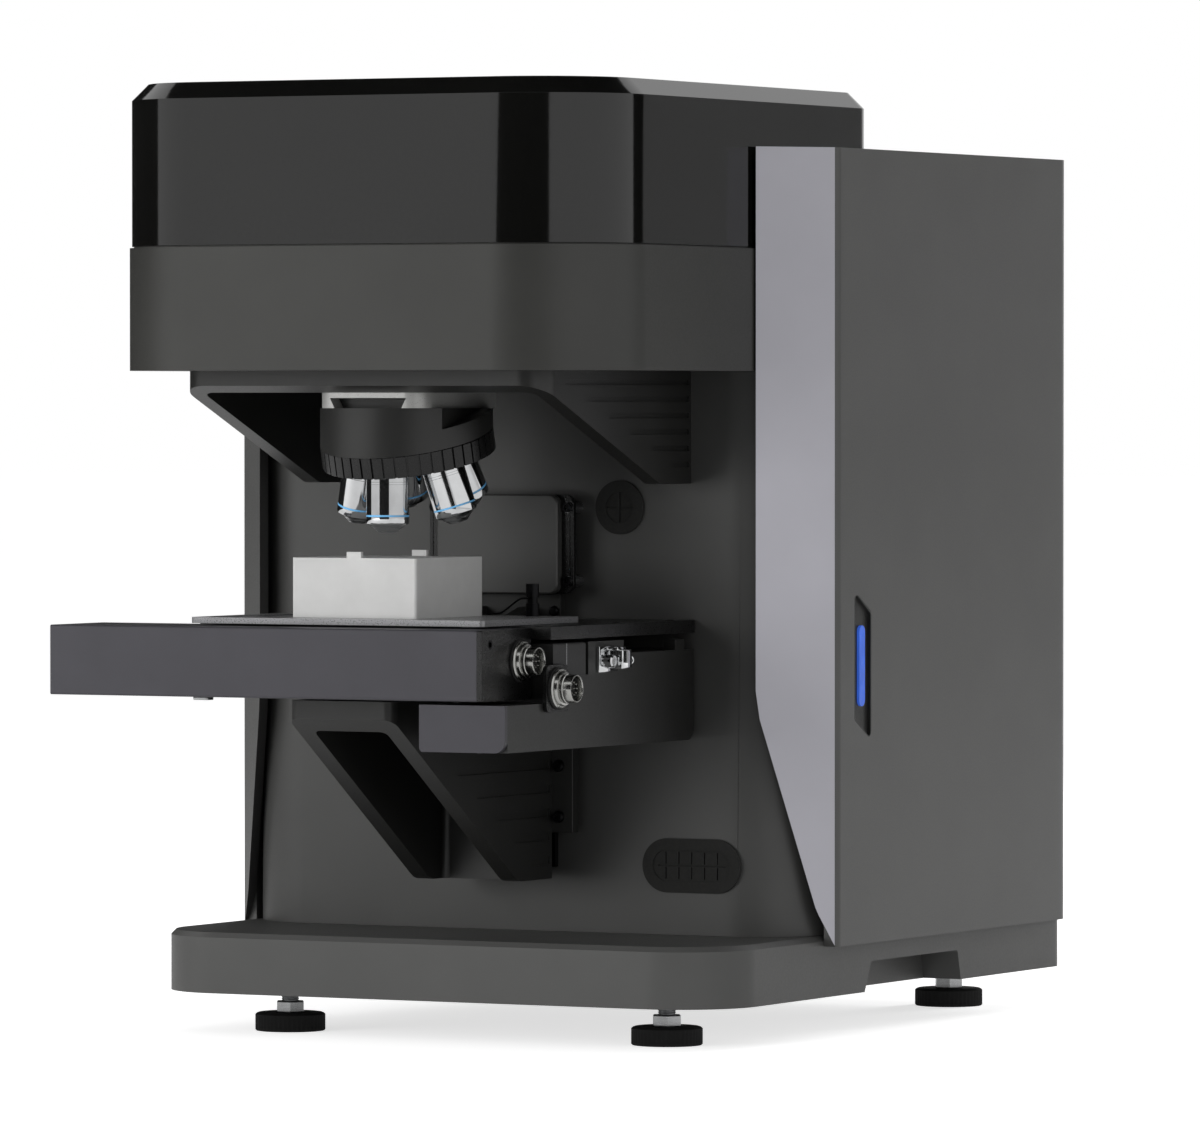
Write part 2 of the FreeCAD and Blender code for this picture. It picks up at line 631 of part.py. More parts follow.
def round_grommet():
    body = new_body("cable_grommet_round")
    sketch = new_sketch(body, "flange", "XZ_Plane", S.column_front)
    circle(sketch, S.grommet_x, S.grommet_z, S.grommet_radius)
    pad(body, sketch, S.grommet_stand)
    sketch = new_sketch(body, "neck", "XZ_Plane", S.column_front)
    circle(sketch, S.grommet_x, S.grommet_z, S.grommet_radius - 3)
    pad(body, sketch, S.column_wall + 2, reverse=True)
    face = S.column_front + S.grommet_stand
    sketch = new_sketch(body, "dish", "XZ_Plane", face)
    circle(sketch, S.grommet_x, S.grommet_z, S.grommet_inner)
    pocket(body, sketch, S.grommet_neck)
    reach, half = S.grommet_inner - 0.5, S.slit_width / 2
    for wide, tall in ((reach, half), (half, reach)):
        sketch = new_sketch(body, "slit", "XZ_Plane", face)
        rectangle(sketch, S.grommet_x - wide, S.grommet_z - tall, S.grommet_x + wide, S.grommet_z + tall)
        pocket(body, sketch, S.grommet_neck * 2)
    return body


def slot_grommet():
    body = new_body("cable_grommet_slot")
    sketch = new_sketch(body, "flange", "XZ_Plane", S.column_front)
    oblong(sketch, OUTLET_X, S.outlet_z, S.outlet_length, S.outlet_height)
    pad(body, sketch, S.grommet_stand)
    sketch = new_sketch(body, "neck", "XZ_Plane", S.column_front)
    oblong(sketch, OUTLET_X, S.outlet_z, S.outlet_length - 6, S.outlet_height - 6)
    pad(body, sketch, S.column_wall + 2, reverse=True)
    face = S.column_front + S.grommet_stand
    sketch = new_sketch(body, "dish", "XZ_Plane", face)
    oblong(sketch, OUTLET_X, S.outlet_z, S.outlet_inner, S.outlet_inner_height)
    pocket(body, sketch, S.grommet_neck)
    half = S.slit_width / 2
    sketch = new_sketch(body, "long_slit", "XZ_Plane", face)
    reach = S.outlet_inner / 2 - 4
    rectangle(sketch, OUTLET_X - reach, S.outlet_z - half, OUTLET_X + reach, S.outlet_z + half)
    pocket(body, sketch, S.grommet_neck * 2)
    sketch = new_sketch(body, "cross_slits", "XZ_Plane", face)
    tall = S.outlet_inner_height / 2 - 1.5
    for step in (-2, -1, 0, 1, 2):
        middle = OUTLET_X + S.outlet_inner / 6 * step
        for low, high in ((half + 0.6, tall), (-tall, -half - 0.6)):
            rectangle(sketch, middle - half, S.outlet_z + low, middle + half, S.outlet_z + high)
    pocket(body, sketch, S.grommet_neck * 2)
    return body


def rear_fittings():
    """The service cover with its fan slots, and the mains inlet, on the back of the column."""
    half = S.base_width / 2 - S.panel_return_length - S.back_cover_side
    rear = S.column_rear + S.back_cover_thick
    cover = new_body("rear_cover")
    sketch = new_sketch(cover, "sheet", "XZ_Plane", -S.column_rear)
    rectangle(sketch, -half, S.back_cover_low, half, S.back_cover_high, Size(6, "6"))
    pad(cover, sketch, S.back_cover_thick, reverse=True)
    sketch = new_sketch(cover, "inlet_window", "XZ_Plane", -rear - 1)
    rectangle(sketch, INLET_X - S.inlet_width / 2, S.inlet_z - S.inlet_height / 2,
              INLET_X + S.inlet_width / 2, S.inlet_z + S.inlet_height / 2)
    pocket(cover, sketch, S.back_cover_thick + 2, reverse=True)
    sketch = new_sketch(cover, "fan_slots", "XZ_Plane", -rear - 1)
    for row in (-3, -2, -1, 0, 1, 2, 3):
        oblong(sketch, FAN_X, S.fan_z + S.fan_side / 8 * row, S.fan_side, S.fan_slot)
    pocket(cover, sketch, S.back_cover_thick + 2, reverse=True)
    inlet = new_body("mains_inlet")
    sketch = new_sketch(inlet, "flange", "XZ_Plane", -S.column_rear)
    rectangle(sketch, INLET_X - S.inlet_width / 2 + 0.2, S.inlet_z - S.inlet_height / 2 + 0.2,
              INLET_X + S.inlet_width / 2 - 0.2, S.inlet_z + S.inlet_height / 2 - 0.2, Size(2, "2"))
    pad(inlet, sketch, S.back_cover_thick + 1, reverse=True)
    sketch = new_sketch(inlet, "case", "XZ_Plane", -S.column_rear)
    rectangle(sketch, INLET_X - S.inlet_width / 2 + 4, S.inlet_z - S.inlet_height / 2 + 2,
              INLET_X + S.inlet_width / 2 - 4, S.inlet_z + S.inlet_height / 2 - 2)
    pad(inlet, sketch, S.inlet_cavity_depth + 2)
    sketch = new_sketch(inlet, "socket", "XZ_Plane", -rear - 1)
    wide, tall = S.inlet_cavity_width / 2, S.inlet_cavity_height / 2
    outline(sketch, [(INLET_X - wide, S.inlet_z - tall), (INLET_X + wide, S.inlet_z - tall),
                     (INLET_X + wide, S.inlet_z + tall - 5), (INLET_X + wide - 5, S.inlet_z + tall),
                     (INLET_X - wide + 5, S.inlet_z + tall), (INLET_X - wide, S.inlet_z + tall - 5)])
    pocket(inlet, sketch, S.inlet_cavity_depth, reverse=True)
    return [cover, inlet]


# Head

def head_outline(sketch, inset):
    half = S.head_width / 2 - inset
    front, rear = inset - S.head_front, S.head_rear - inset
    big, small = S.head_corner - inset, S.head_rear_corner - inset
    outline(sketch, [(-half, front, big), (half, front, big), (half, rear, small), (-half, rear, small)])


def head_body():
    body = new_body("head_body")
    sketch = new_sketch(body, "band", "XY_Plane", S.head_bottom)
    head_outline(sketch, ZERO)
    pad(body, sketch, S.head_seam - S.head_bottom)
    sketch = new_sketch(body, "ledge", "XY_Plane", S.head_seam)
    head_outline(sketch, S.ledge_inset)
    pad(body, sketch, S.seam_gap)
    sketch = new_sketch(body, "hollow", "XY_Plane", S.head_bottom + S.head_floor)
    head_outline(sketch, S.head_wall)
    pocket(body, sketch, S.head_seam - S.head_bottom, reverse=True)
    sketch = new_sketch(body, "beam_hole", "XY_Plane", S.head_bottom)
    circle(sketch, ZERO, -S.optic_y, S.tube_radius)
    pocket(body, sketch, S.head_floor + 1, reverse=True)
    return body


def head_cover():
    body = new_body("head_cover")
    low = S.head_seam + S.seam_gap
    sketch = new_sketch(body, "shell", "XY_Plane", low)
    head_outline(sketch, S.cover_inset)
    pad(body, sketch, S.head_top - low)
    top = number(S.head_top)
    soften(body, "Chamfer", S.cover_chamfer, lambda middle, edge: abs(middle.z - top) < 1e-3)
    sketch = new_sketch(body, "hollow", "XY_Plane", low)
    head_outline(sketch, S.cover_inset + S.cover_wall)
    pocket(body, sketch, S.head_top - S.cover_chamfer - low, reverse=True)
    return body


def head_inside():
    """The laser and the spectrometer on the floor of the head, and the tube that brings the beam down."""
    floor = S.head_bottom + S.head_floor
    left = S.head_wall + S.module_gap - S.head_width / 2
    laser = box((left, -S.laser_front, floor),
                (left + S.laser_width, S.laser_depth - S.laser_front, floor + S.laser_height))
    right = -left
    spectro = box((left + S.laser_width + S.module_split, -S.spectro_front, floor),
                  (right, S.spectro_depth - S.spectro_front, S.head_top - S.cover_chamfer - S.spectro_room))
    named(laser, "laser_module")
    named(spectro, "spectrometer_module")
    low = S.mount_bottom + S.dovetail_height + 2
    outer = rod((ZERO, -S.optic_y, low), S.tube_radius, S.tube_top - low)
    bore = rod((ZERO, -S.optic_y, low - 1), S.tube_radius - S.tube_wall, S.tube_top - low + 2)
    return [laser, spectro, cut_from(outer, [bore], "beam_tube")]


# Hollow brackets with a slanted window in front: the canopy above and the knee below

def slanted_bracket(body, width, front, rear, corner, low, high, lip, slope_end, blend):
    """A block with round front corners, cut off below by a slope that runs down to the column."""
    half = width / 2
    sketch = new_sketch(body, "plan", "XY_Plane", low - 2)
    outline(sketch, [(-half, -front, corner), (half, -front, corner), (half, -rear), (-half, -rear)])
    pad(body, sketch, high - low + 2)
    sketch = new_sketch(body, "slope", "YZ_Plane")
    outline(sketch, [(-front - 5, low - 10), (5 - rear, low - 10), (5 - rear, low),
                     (-slope_end, low, blend), (-front, lip), (-front - 5, lip)])
    pocket(body, sketch, width + 10, middle=True)


def cheek_slots(body, side, width, first, pitch, height, depth, start, step, rear, count):
    """Blind slots in a cheek: each one starts farther back than the one above it."""
    sketch = new_sketch(body, "slots", "YZ_Plane", (width / 2 - depth) * side)
    for row in range(count):
        y = step * row - start
        z = first - pitch * row
        low, high = z - height / 2, z + height / 2
        end = height / 2 - 0.2
        outline(sketch, [(y, low, end), (-rear, low), (-rear, high), (y, high, end)])
    pocket(body, sketch, depth + 2, reverse=side > 0)


def canopy():
    body = new_body("canopy")
    slanted_bracket(body, S.canopy_width, S.canopy_front, S.column_front, S.canopy_corner, S.canopy_bottom,
                    S.head_bottom, S.canopy_lip, S.canopy_slope_end, S.canopy_blend)
    inner = S.canopy_width / 2 - S.canopy_wall
    front, round_in = S.canopy_wall - S.canopy_front, S.canopy_corner - S.canopy_wall
    sketch = new_sketch(body, "hollow", "XY_Plane", S.canopy_bottom - 5)
    outline(sketch, [(-inner, front, round_in), (inner, front, round_in), (inner, 5 - S.column_front),
                     (-inner, 5 - S.column_front)])
    pocket(body, sketch, S.head_bottom - S.canopy_bottom + 10, reverse=True)
    for side in (1, -1):
        cheek_slots(body, side, S.canopy_width, S.vent_first, S.vent_pitch, S.vent_height, S.vent_depth,
                    S.vent_start, S.vent_step, S.column_front + S.vent_margin, 6)
    return body


def knee():
    body = new_body("stage_knee")
    slanted_bracket(body, S.knee_width, S.knee_front, S.knee_rear, S.knee_corner, S.knee_bottom, S.knee_top,
                    S.knee_lip, S.knee_slope_end, S.knee_blend)
    inner = S.knee_width / 2 - S.knee_wall
    sketch = new_sketch(body, "hollow", "XY_Plane", S.knee_bottom - 5)
    rectangle(sketch, -inner, S.knee_wall - S.knee_front, inner, -S.knee_rear - S.knee_back_wall,
              Size(5, "5"))
    pocket(body, sketch, S.knee_top - S.knee_roof - S.knee_bottom + 5, reverse=True)
    for side in (1, -1):
        cheek_slots(body, side, S.knee_width, S.groove_first, S.groove_pitch, S.groove_height, S.groove_depth,
                    S.groove_start, S.groove_step, S.knee_rear + S.groove_margin, 7)
    return body


# Plate on posts, rails

def front_port():
    """A flange held off the column by four screwed posts, with a blank cover on it."""
    half, top = S.back_plate_width / 2, S.back_plate_bottom + S.back_plate_height
    front = S.column_front + S.flange_stand
    corners = [(S.post_inset_x - half, S.back_plate_bottom + S.post_inset_z),
               (half - S.post_inset_x, S.back_plate_bottom + S.post_inset_z),
               (S.post_inset_x - half, top - S.post_inset_z), (half - S.post_inset_x, top - S.post_inset_z)]
    flange = new_body("port_flange")
    sketch = new_sketch(flange, "plate", "XZ_Plane", front)
    rectangle(sketch, -half, S.back_plate_bottom, half, top, S.back_plate_round)
    pad(flange, sketch, S.back_plate_thick)
    sketch = new_sketch(flange, "holes", "XZ_Plane", front)
    for x, z in corners:
        circle(sketch, x, z, S.flange_shank)
    pocket(flange, sketch, S.back_plate_thick + 2, reverse=True)
    cover = new_body("port_cover")
    sketch = new_sketch(cover, "plate", "XZ_Plane", front + S.back_plate_thick)
    half = S.front_plate_width / 2
    rectangle(sketch, -half, S.back_plate_bottom, half, top, S.back_plate_round)
    pad(cover, sketch, S.front_plate_thick)
    face = number(front + S.back_plate_thick + S.front_plate_thick)
    soften(cover, "Chamfer", S.port_chamfer, lambda middle, edge: abs(middle.y + face) < 1e-3)
    posts = []
    for x, z in corners:
        stand = rod((x, -S.column_front, z), S.flange_post_radius, S.flange_stand, "front")
        shank = rod((x, -front, z), S.flange_shank, S.back_plate_thick, "front")
        head = rod((x, -front - S.back_plate_thick, z), S.flange_head, S.flange_head_height, "front")
        posts.append(joined([stand, shank, head]))
    return [flange, cover, group(posts, "flange_posts")]


def rail_pair():
    rails = []
    for side in (-1, 1):
        middle = S.rail_spacing / 2 * side
        rails.append(box((middle - S.rail_width / 2, -S.column_front - S.rail_height, S.rail_bottom),
                         (middle + S.rail_width / 2, -S.column_front, S.rail_top)))
    return group(rails, "guide_rails")


# Nosepiece: fixed mount and body, revolving ring with five objectives

def tilted(thing):
    """Sets a thing built below the origin on the tilted axis of the nosepiece."""
    return place_turned(thing, (ZERO, -S.optic_y, S.apex_z), (Size(1, "1"), ZERO, ZERO), S.nose_tilt)


def nosepiece_mount():
    body = new_body("nosepiece_mount")
    half = S.mount_width / 2
    front, rear = -S.mount_front, S.mount_depth - S.mount_front
    sketch = new_sketch(body, "block", "XY_Plane", S.mount_bottom)
    outline(sketch, [(-half, front, S.mount_round), (half, front, S.mount_round),
                     (half, rear), (-half, rear)])
    pad(body, sketch, S.head_bottom - S.mount_bottom)
    sketch = new_sketch(body, "dovetail", "XZ_Plane", S.mount_front + 2)
    dovetail_outline(sketch, ZERO)
    pocket(body, sketch, S.mount_depth - S.mount_round)
    sketch = new_sketch(body, "light_path", "XY_Plane", S.mount_bottom)
    circle(sketch, ZERO, -S.optic_y, S.tube_radius)
    pocket(body, sketch, S.head_bottom - S.mount_bottom + 2, reverse=True)
    return body


def dovetail_outline(sketch, play):
    low, high = S.mount_bottom, S.mount_bottom + S.dovetail_height
    wide = S.dovetail_width / 2 - play
    narrow = wide - S.dovetail_flare
    outline(sketch, [(-narrow, low - 1), (narrow, low - 1), (narrow, low), (wide, high - play),
                     (-wide, high - play), (-narrow, low)])


def nosepiece_body():
    """A short drum with a flat above its right rim, cut off below square to the tilted axis."""
    body = new_body("nosepiece_drum")
    sine, cosine = trig("sin", S.nose_tilt), trig("cos", S.nose_tilt)
    down = S.ring_top - S.ring_gap
    centre_y = down * sine - S.optic_y
    low = S.apex_z - (S.ring_top + S.ring_height) * cosine - S.nose_radius * sine
    sketch = new_sketch(body, "drum", "XY_Plane", low)
    circle(sketch, ZERO, centre_y, S.nose_radius)
    pad(body, sketch, S.mount_bottom - low)
    sketch = new_sketch(body, "slide", "XZ_Plane", S.mount_front - 12)
    dovetail_outline(sketch, S.dovetail_play)
    pad(body, sketch, S.mount_depth - S.mount_round - 15, reverse=True)
    tangent = sine / cosine
    reach = S.nose_radius + 20
    middle_z = S.apex_z - down * cosine
    rim_z, above = middle_z + S.drum_rim, S.mount_bottom + S.nose_radius
    sketch = new_sketch(body, "flat", "YZ_Plane", S.nose_flat)
    outline(sketch, [(centre_y - reach, rim_z - reach * tangent), (centre_y + reach, rim_z + reach * tangent),
                     (centre_y + reach, above), (centre_y - reach, above)])
    pocket(body, sketch, S.nose_radius, reverse=True)
    sketch = new_sketch(body, "tilted_cut", "YZ_Plane")
    outline(sketch, [(centre_y - reach, low - 30), (centre_y + reach, low - 30),
                     (centre_y + reach, middle_z + reach * tangent),
                     (centre_y - reach, middle_z - reach * tangent)])
    pocket(body, sketch, S.nose_radius * 2 + 20, middle=True)
    sketch = new_sketch(body, "light_path", "XY_Plane", S.mount_bottom + S.dovetail_height + 5)
    circle(sketch, ZERO, -S.optic_y, S.tube_radius - S.tube_wall)
    pocket(body, sketch)
    tilted_bore = tilted_rod(S.shaft_radius, S.shaft_top, S.ring_top + S.ring_height)
    return cut_from(body, [tilted_bore], "nosepiece_body")


def tilted_rod(radius, start, end):
    """A rod on the tilted axis, between two distances below the point where all the light axes meet."""
    sine, cosine = trig("sin", S.nose_tilt), trig("cos", S.nose_tilt)
    item = rod((ZERO, ZERO, ZERO), radius, end - start)
    base = (ZERO, end * sine - S.optic_y, S.apex_z - end * cosine)
    return place_turned(item, base, (Size(1, "1"), ZERO, ZERO), S.nose_tilt)


def nosepiece_shaft():
    stem = tilted_rod(S.shaft_radius, S.shaft_top, S.ring_top + S.ring_height + S.ring_gap)
    start = S.ring_top + S.ring_height + S.ring_gap
    head = tilted_rod(S.shaft_head, start, start + S.shaft_head_height)
    return joined([stem, head], "nosepiece_shaft")


def leaning_rod(radius, start, end, turn):
    """A rod below the origin, leaning out by the tilt of the nosepiece and turned about the ring axis."""
    sine, cosine = trig("sin", S.nose_tilt), trig("cos", S.nose_tilt)
    item = rod((ZERO, ZERO, ZERO), radius, end - start)
    out, down = end * sine, end * cosine
    about = (trig("cos", turn), trig("sin", turn), ZERO)
    base = (out * about[1], -(out * about[0]), -down)
    return place_turned(item, base, about, -S.nose_tilt)


def ring_turns():
    return [Size(360.0 / SIZES["objective_count"] * step, "360 / sizes.objective_count * %d" % step)
            for step in range(SIZES["objective_count"])]


def turret_ring():
    rim = new_body("ring_blank")
    sketch = new_sketch(rim, "disc", "XY_Plane", -S.ring_top)
    circle(sketch, ZERO, ZERO, S.ring_radius)
    pad(rim, sketch, S.ring_height, reverse=True)
    sketch = new_sketch(rim, "groove", "XY_Plane", -S.ring_top - S.ring_height)
    rectangle(sketch, -S.rib_gap / 2, S.ring_radius - S.rib_depth, S.rib_gap / 2, S.ring_radius + 2)
    cut = pocket(rim, sketch, S.ring_height + 2, reverse=True)
    pattern = rim.newObject("PartDesign::PolarPattern", "grooves")
    pattern.Originals = [cut]
    pattern.Axis = (origin_plane(rim, "Z_Axis"), [""])
    pattern.Angle = 360
    pattern.Occurrences = SIZES["rib_count"]
    pattern.setExpression("Occurrences", "sizes.rib_count")
    rim.Tip = pattern
    DOC.recompute()
    turns = ring_turns()
    seats = [leaning_rod(S.seat_boss, S.ring_top + 9, S.barrel_top, turn) for turn in turns]
    bores = [leaning_rod(S.seat_radius, S.ring_top - 10, S.barrel_top + 2, turn) for turn in turns]
    bores.append(rod((ZERO, ZERO, -S.ring_top - S.ring_height - 5), S.shaft_radius + S.shaft_play,
                     S.ring_height + 10))
    return tilted(cut_from(joined([rim] + seats), bores, "turret_ring"))


def objective(label, spin):
    """One objective lens barrel, turned about its own axis and set in its place on the ring."""
    body = new_body(label)
    sketch = new_sketch(body, "profile", "XZ_Plane")
    band_low, band_high = S.band_from_apex + S.band_width / 2, S.band_from_apex - S.band_width / 2
    rim = S.barrel_radius - S.band_depth
    steps = [(S.glass_radius, S.neck_start), (S.neck_radius, S.neck_start), (S.neck_radius, S.barrel_top),
             (S.barrel_radius, S.barrel_top), (S.barrel_radius, band_high), (rim, band_high), (rim, band_low),
             (S.barrel_radius, band_low), (S.barrel_radius, S.barrel_tip - S.tip_cone),
             (S.tip_radius, S.barrel_tip), (S.cone_radius, S.barrel_tip), (S.lens_radius, S.lens_tip),
             (S.glass_radius, S.lens_tip)]
    outline(sketch, [(x, -z) for x, z in steps])
    turn(body, sketch)
    return aim(body, spin)


def aim(thing, turn, below=ZERO):
    """Leans a thing that hangs below the origin into its place around the tilted axis."""
    tilt = number(S.nose_tilt)
    x_axis, z_axis = Vector(1, 0, 0), Vector(0, 0, 1)
    spin = Rotation(x_axis, tilt) * Rotation(z_axis, number(turn)) * Rotation(x_axis, -tilt)
    apex = Placement(Vector(0, -number(S.optic_y), number(S.apex_z)), spin)
    thing.Placement = apex * Placement(Vector(0, 0, -number(below)), Rotation())
    lean = "rotation(vector(1; 0; 0); %s)" % formula(S.nose_tilt)
    back = "rotation(vector(1; 0; 0); %s)" % formula(-S.nose_tilt)
    step = "rotation(vector(0; 0; 1); %s)" % formula(turn)
    point = "vector(0; %s; %s)" % (formula(-S.optic_y), formula(S.apex_z))
    whole = "placement(%s; %s * %s * %s)" % (point, lean, step, back)
    lower = "placement(vector(0; 0; %s); rotation(vector(0; 0; 1); 0))" % formula(-below)
    thing.setExpression("Placement", whole + " * " + lower)
    return thing


def objectives():
    """Five lens barrels on the ring, and the front glass of each."""
    made, discs = [], []
    for index, turn in enumerate(ring_turns(), start=1):
        made.append(objective("objective_%d" % index, turn))
        disc = rod((ZERO, ZERO, ZERO), S.glass_radius, S.glass_thick)
        for axis in "xyz":
            disc.setExpression("Placement.Base." + axis, None)
        discs.append(aim(disc, turn, S.lens_tip - S.glass_inset))
    return made + [group(discs, "objective_lenses")]


# Stage carrier: carriage on the rails, knee, bed and Y drive

def stage_carriage():
    body = new_body("stage_carriage")
    half = S.carriage_width / 2
    front = S.knee_rear
    sketch = new_sketch(body, "plate", "XZ_Plane", front - S.carriage_thick)
    rectangle(sketch, -half, S.carriage_bottom, half, S.carriage_top)
    pad(body, sketch, S.carriage_thick)
    rear = S.column_front + S.rail_height + 1
    sketch = new_sketch(body, "tongue", "XZ_Plane", rear)
    half = S.tongue_width / 2
    rectangle(sketch, -half, S.carriage_top - 10, half, S.tongue_top)
    pad(body, sketch, S.tongue_thick)
    for side in (-1, 1):
        sketch = new_sketch(body, "gusset", "YZ_Plane", S.gusset_x * side)
        outline(sketch, [(-rear - 2, S.carriage_top - 7), (-S.gusset_front, S.carriage_top - 7),
                         (-S.gusset_front, S.gusset_low), (-front, S.gusset_top), (-rear - 2, S.gusset_top)])
        pad(body, sketch, S.gusset_thick, middle=True)
    return body


def carriage_hardware():
    """Guide blocks that ride on the rails, and the bolts in the face of the carriage."""
    back = S.knee_rear - S.carriage_thick
    gap = S.column_front + S.rail_play
    blocks = []
    for side in (-1, 1):
        middle = S.rail_spacing / 2 * side
        notch = S.rail_width / 2 + S.rail_play
        for low in (S.carriage_bottom + 5, S.carriage_top - S.block_length - 12):
            outer = box((middle - S.block_width / 2, -back, low),
                        (middle + S.block_width / 2, -gap, low + S.block_length))
            inner = box((middle - notch, -S.column_front - S.rail_height - S.rail_play, low - 1),
                        (middle + notch, 1 - gap, low + S.block_length + 1))
            blocks.append(cut_from(outer, [inner]))
    bolts = []
    for side in (-1, 1):
        for z in (S.carriage_bottom + 11, S.carriage_bottom + 47):
            bolts.append(dome_bolt(S.bolt_x * side, S.knee_rear, z, S.bolt_radius))
        bolts.append(dome_bolt(S.tongue_bolt_x * side, S.column_front + S.rail_height + 1 + S.tongue_thick,
                               S.tongue_bolt_z, S.tongue_bolt_radius))
    return [group(blocks, "guide_blocks"), group(bolts, "carriage_bolts")]


def dome_bolt(x, front, z, radius):
    """A low round bolt head that stands on a face turned to the front."""
    stub = rod((x, -front, z), radius, S.bolt_height, "front")
    face = -number(front) - number(S.bolt_height)
    return rounded(stub, S.bolt_height * 0.8, lambda middle, edge: abs(middle.y - face) < 1e-3)


def stage_bed():
    low, high = S.knee_top, S.knee_top + S.bed_thick
    plate = named(box((-S.bed_left, -S.bed_front, low), (S.drive_left, -S.knee_rear, high)), "stage_bed")
    runners = []
    for side in (-1, 1):
        middle = S.runner_x * side
        runners.append(box((middle - S.runner_width / 2, 2 - S.bed_front, high),
                           (middle + S.runner_width / 2, -S.runner_rear, high + S.runner_height)))
    return [plate, group(runners, "y_runners")]


def y_drive_box():
    body = new_body("y_drive_box")
    width = S.drive_right - S.drive_left
    front = S.drive_plate - S.drive_front
    sketch = new_sketch(body, "profile", "YZ_Plane", S.drive_left)
    outline(sketch, [(front, S.drive_bottom), (-S.drive_rear, S.drive_bottom, S.drive_round),
                     (-S.drive_rear, S.drive_high), (-S.drive_tab_end, S.drive_high),
                     (-S.drive_tab_end, S.drive_tab), (-S.drive_mid_end, S.drive_tab),
                     (-S.drive_mid_end, S.drive_mid), (-S.drive_low_end, S.drive_mid),
                     (-S.drive_low_end, S.drive_low), (front, S.drive_low)])
    pad(body, sketch, width)
    sketch = new_sketch(body, "spacer", "XY_Plane", S.drive_high)
    rectangle(sketch, S.drive_right - S.spacer_width, -S.spacer_front, S.drive_right,
              S.spacer_length - S.spacer_front)
    pad(body, sketch, S.spacer_height)
    plate = new_body("y_drive_front")
    sketch = new_sketch(plate, "plate", "XZ_Plane", -front)
    outline(sketch, [(S.drive_left, S.drive_bottom, S.plate_corner),
                     (S.drive_right, S.drive_bottom, S.drive_round),
                     (S.drive_right, S.drive_low), (S.drive_left, S.drive_low)])
    pad(plate, sketch, S.drive_plate)
    return [body, plate]


def drive_cap():
    """The black cap on the middle step of the drive box."""
    cap = box((S.drive_left, -S.cap_front, S.drive_mid), (S.drive_right, -S.cap_rear, S.drive_tab))
    top = number(S.drive_tab)
    return rounded(cap, S.cap_round, lambda middle, edge: abs(middle.z - top) < 1e-3, "drive_cap")


def connector(label, x, y, z, reach):
    """A round cable socket that looks to the right: flange, step, collar and a hollow mouth."""
    flange = rod((x, y, z), S.plug_flange, S.plug_flange_thick, "right")
    step = rod((x + S.plug_flange_thick, y, z), S.plug_step, S.plug_step_length, "right")
    collar = rod((x + S.plug_flange_thick, y, z), S.plug_radius, reach, "right")
    end = x + S.plug_flange_thick + reach
    mouth = rod((end - S.plug_bore_depth, y, z), S.plug_radius - S.plug_wall, S.plug_bore_depth + 1, "right")
    hollow = cut_from(joined([flange, step, collar]), [mouth])
    core = rod((end - S.plug_bore_depth - 1, y, z), S.plug_core, S.plug_bore_depth - 1, "right")
    return joined([hollow, core], label)


def drive_ports():
    plate = new_body("port_plate")
    sketch = new_sketch(plate, "plate", "YZ_Plane", S.drive_right)
    rectangle(sketch, -S.port_plate_front, S.port_plate_low, -S.port_plate_rear, S.port_plate_high,
              S.port_plate_round)
    pad(plate, sketch, S.port_plate_thick)
    lower = connector("lower_connector", S.drive_right + S.port_plate_thick, -S.lower_plug_y, S.lower_plug_z,
                      S.plug_length)
    side = new_body("side_connector")
    sketch = new_sketch(side, "shell", "YZ_Plane", S.drive_right)
    wide, tall = S.side_plug_width / 2, S.side_plug_height / 2
    middle, level = -S.block_plug_y, S.block_plug_z
    rectangle(sketch, middle - wide, level - tall, middle + wide, level + tall, Size(1, "1"))
    pad(side, sketch, S.side_plug_plate)
    sketch = new_sketch(side, "rim", "YZ_Plane", S.drive_right + S.side_plug_plate)
    outline(sketch, [(middle - wide + 6, level - tall + 4, Size(1.5, "1.5")),
                     (middle + wide - 6, level - tall + 4, Size(1.5, "1.5")),
                     (middle + wide - 4.5, level + tall - 4, Size(1.5, "1.5")),
                     (middle - wide + 4.5, level + tall - 4, Size(1.5, "1.5"))])
    pad(side, sketch, S.side_plug_rim)
    return [plate, lower, side]


# Y stage: table plate with the X drive cover in front

def table_plate():
    body = new_body("table_plate")
    low = S.table_top - S.table_thick
    sketch = new_sketch(body, "plate", "XY_Plane", low)
    notch, inner = S.notch_half, -S.notch_front
    rear, front = -S.table_rear, -S.table_front
    outline(sketch, [(-S.table_left, front), (S.table_right, front), (S.table_right, rear), (notch, rear),
                     (notch, inner), (-notch, inner), (-notch, rear), (-S.table_left, rear)])
    pad(body, sketch, S.table_thick)
    sketch = new_sketch(body, "key_grooves", "XY_Plane", S.table_top)
    play = S.runner_play
    reach = S.key_reach + S.key_run + play
    for y in (-S.key_front, -S.key_rear):
        rectangle(sketch, -reach, y - S.key_width / 2 - play, reach, y + S.key_width / 2 + play)
    pocket(body, sketch, S.key_depth + play)
    return body


def table_blocks():
    low = S.knee_top + S.bed_thick
    top = S.table_top - S.table_thick
    play = S.runner_play
    blocks = []
    for side in (-1, 1):
        middle = S.runner_x * side
        notch = S.runner_width / 2 + play
        for rear in (S.slide_rear, S.slide_rear + S.slide_pitch):
            outer = box((middle - S.slide_block / 2, -rear - S.slide_length, low + 8),
                        (middle + S.slide_block / 2, -rear, top))
            inner = box((middle - notch, -rear - S.slide_length - 1, low + 7),
                        (middle + notch, 1 - rear, low + S.runner_height + play))
            blocks.append(cut_from(outer, [inner]))
    return group(blocks, "table_blocks")


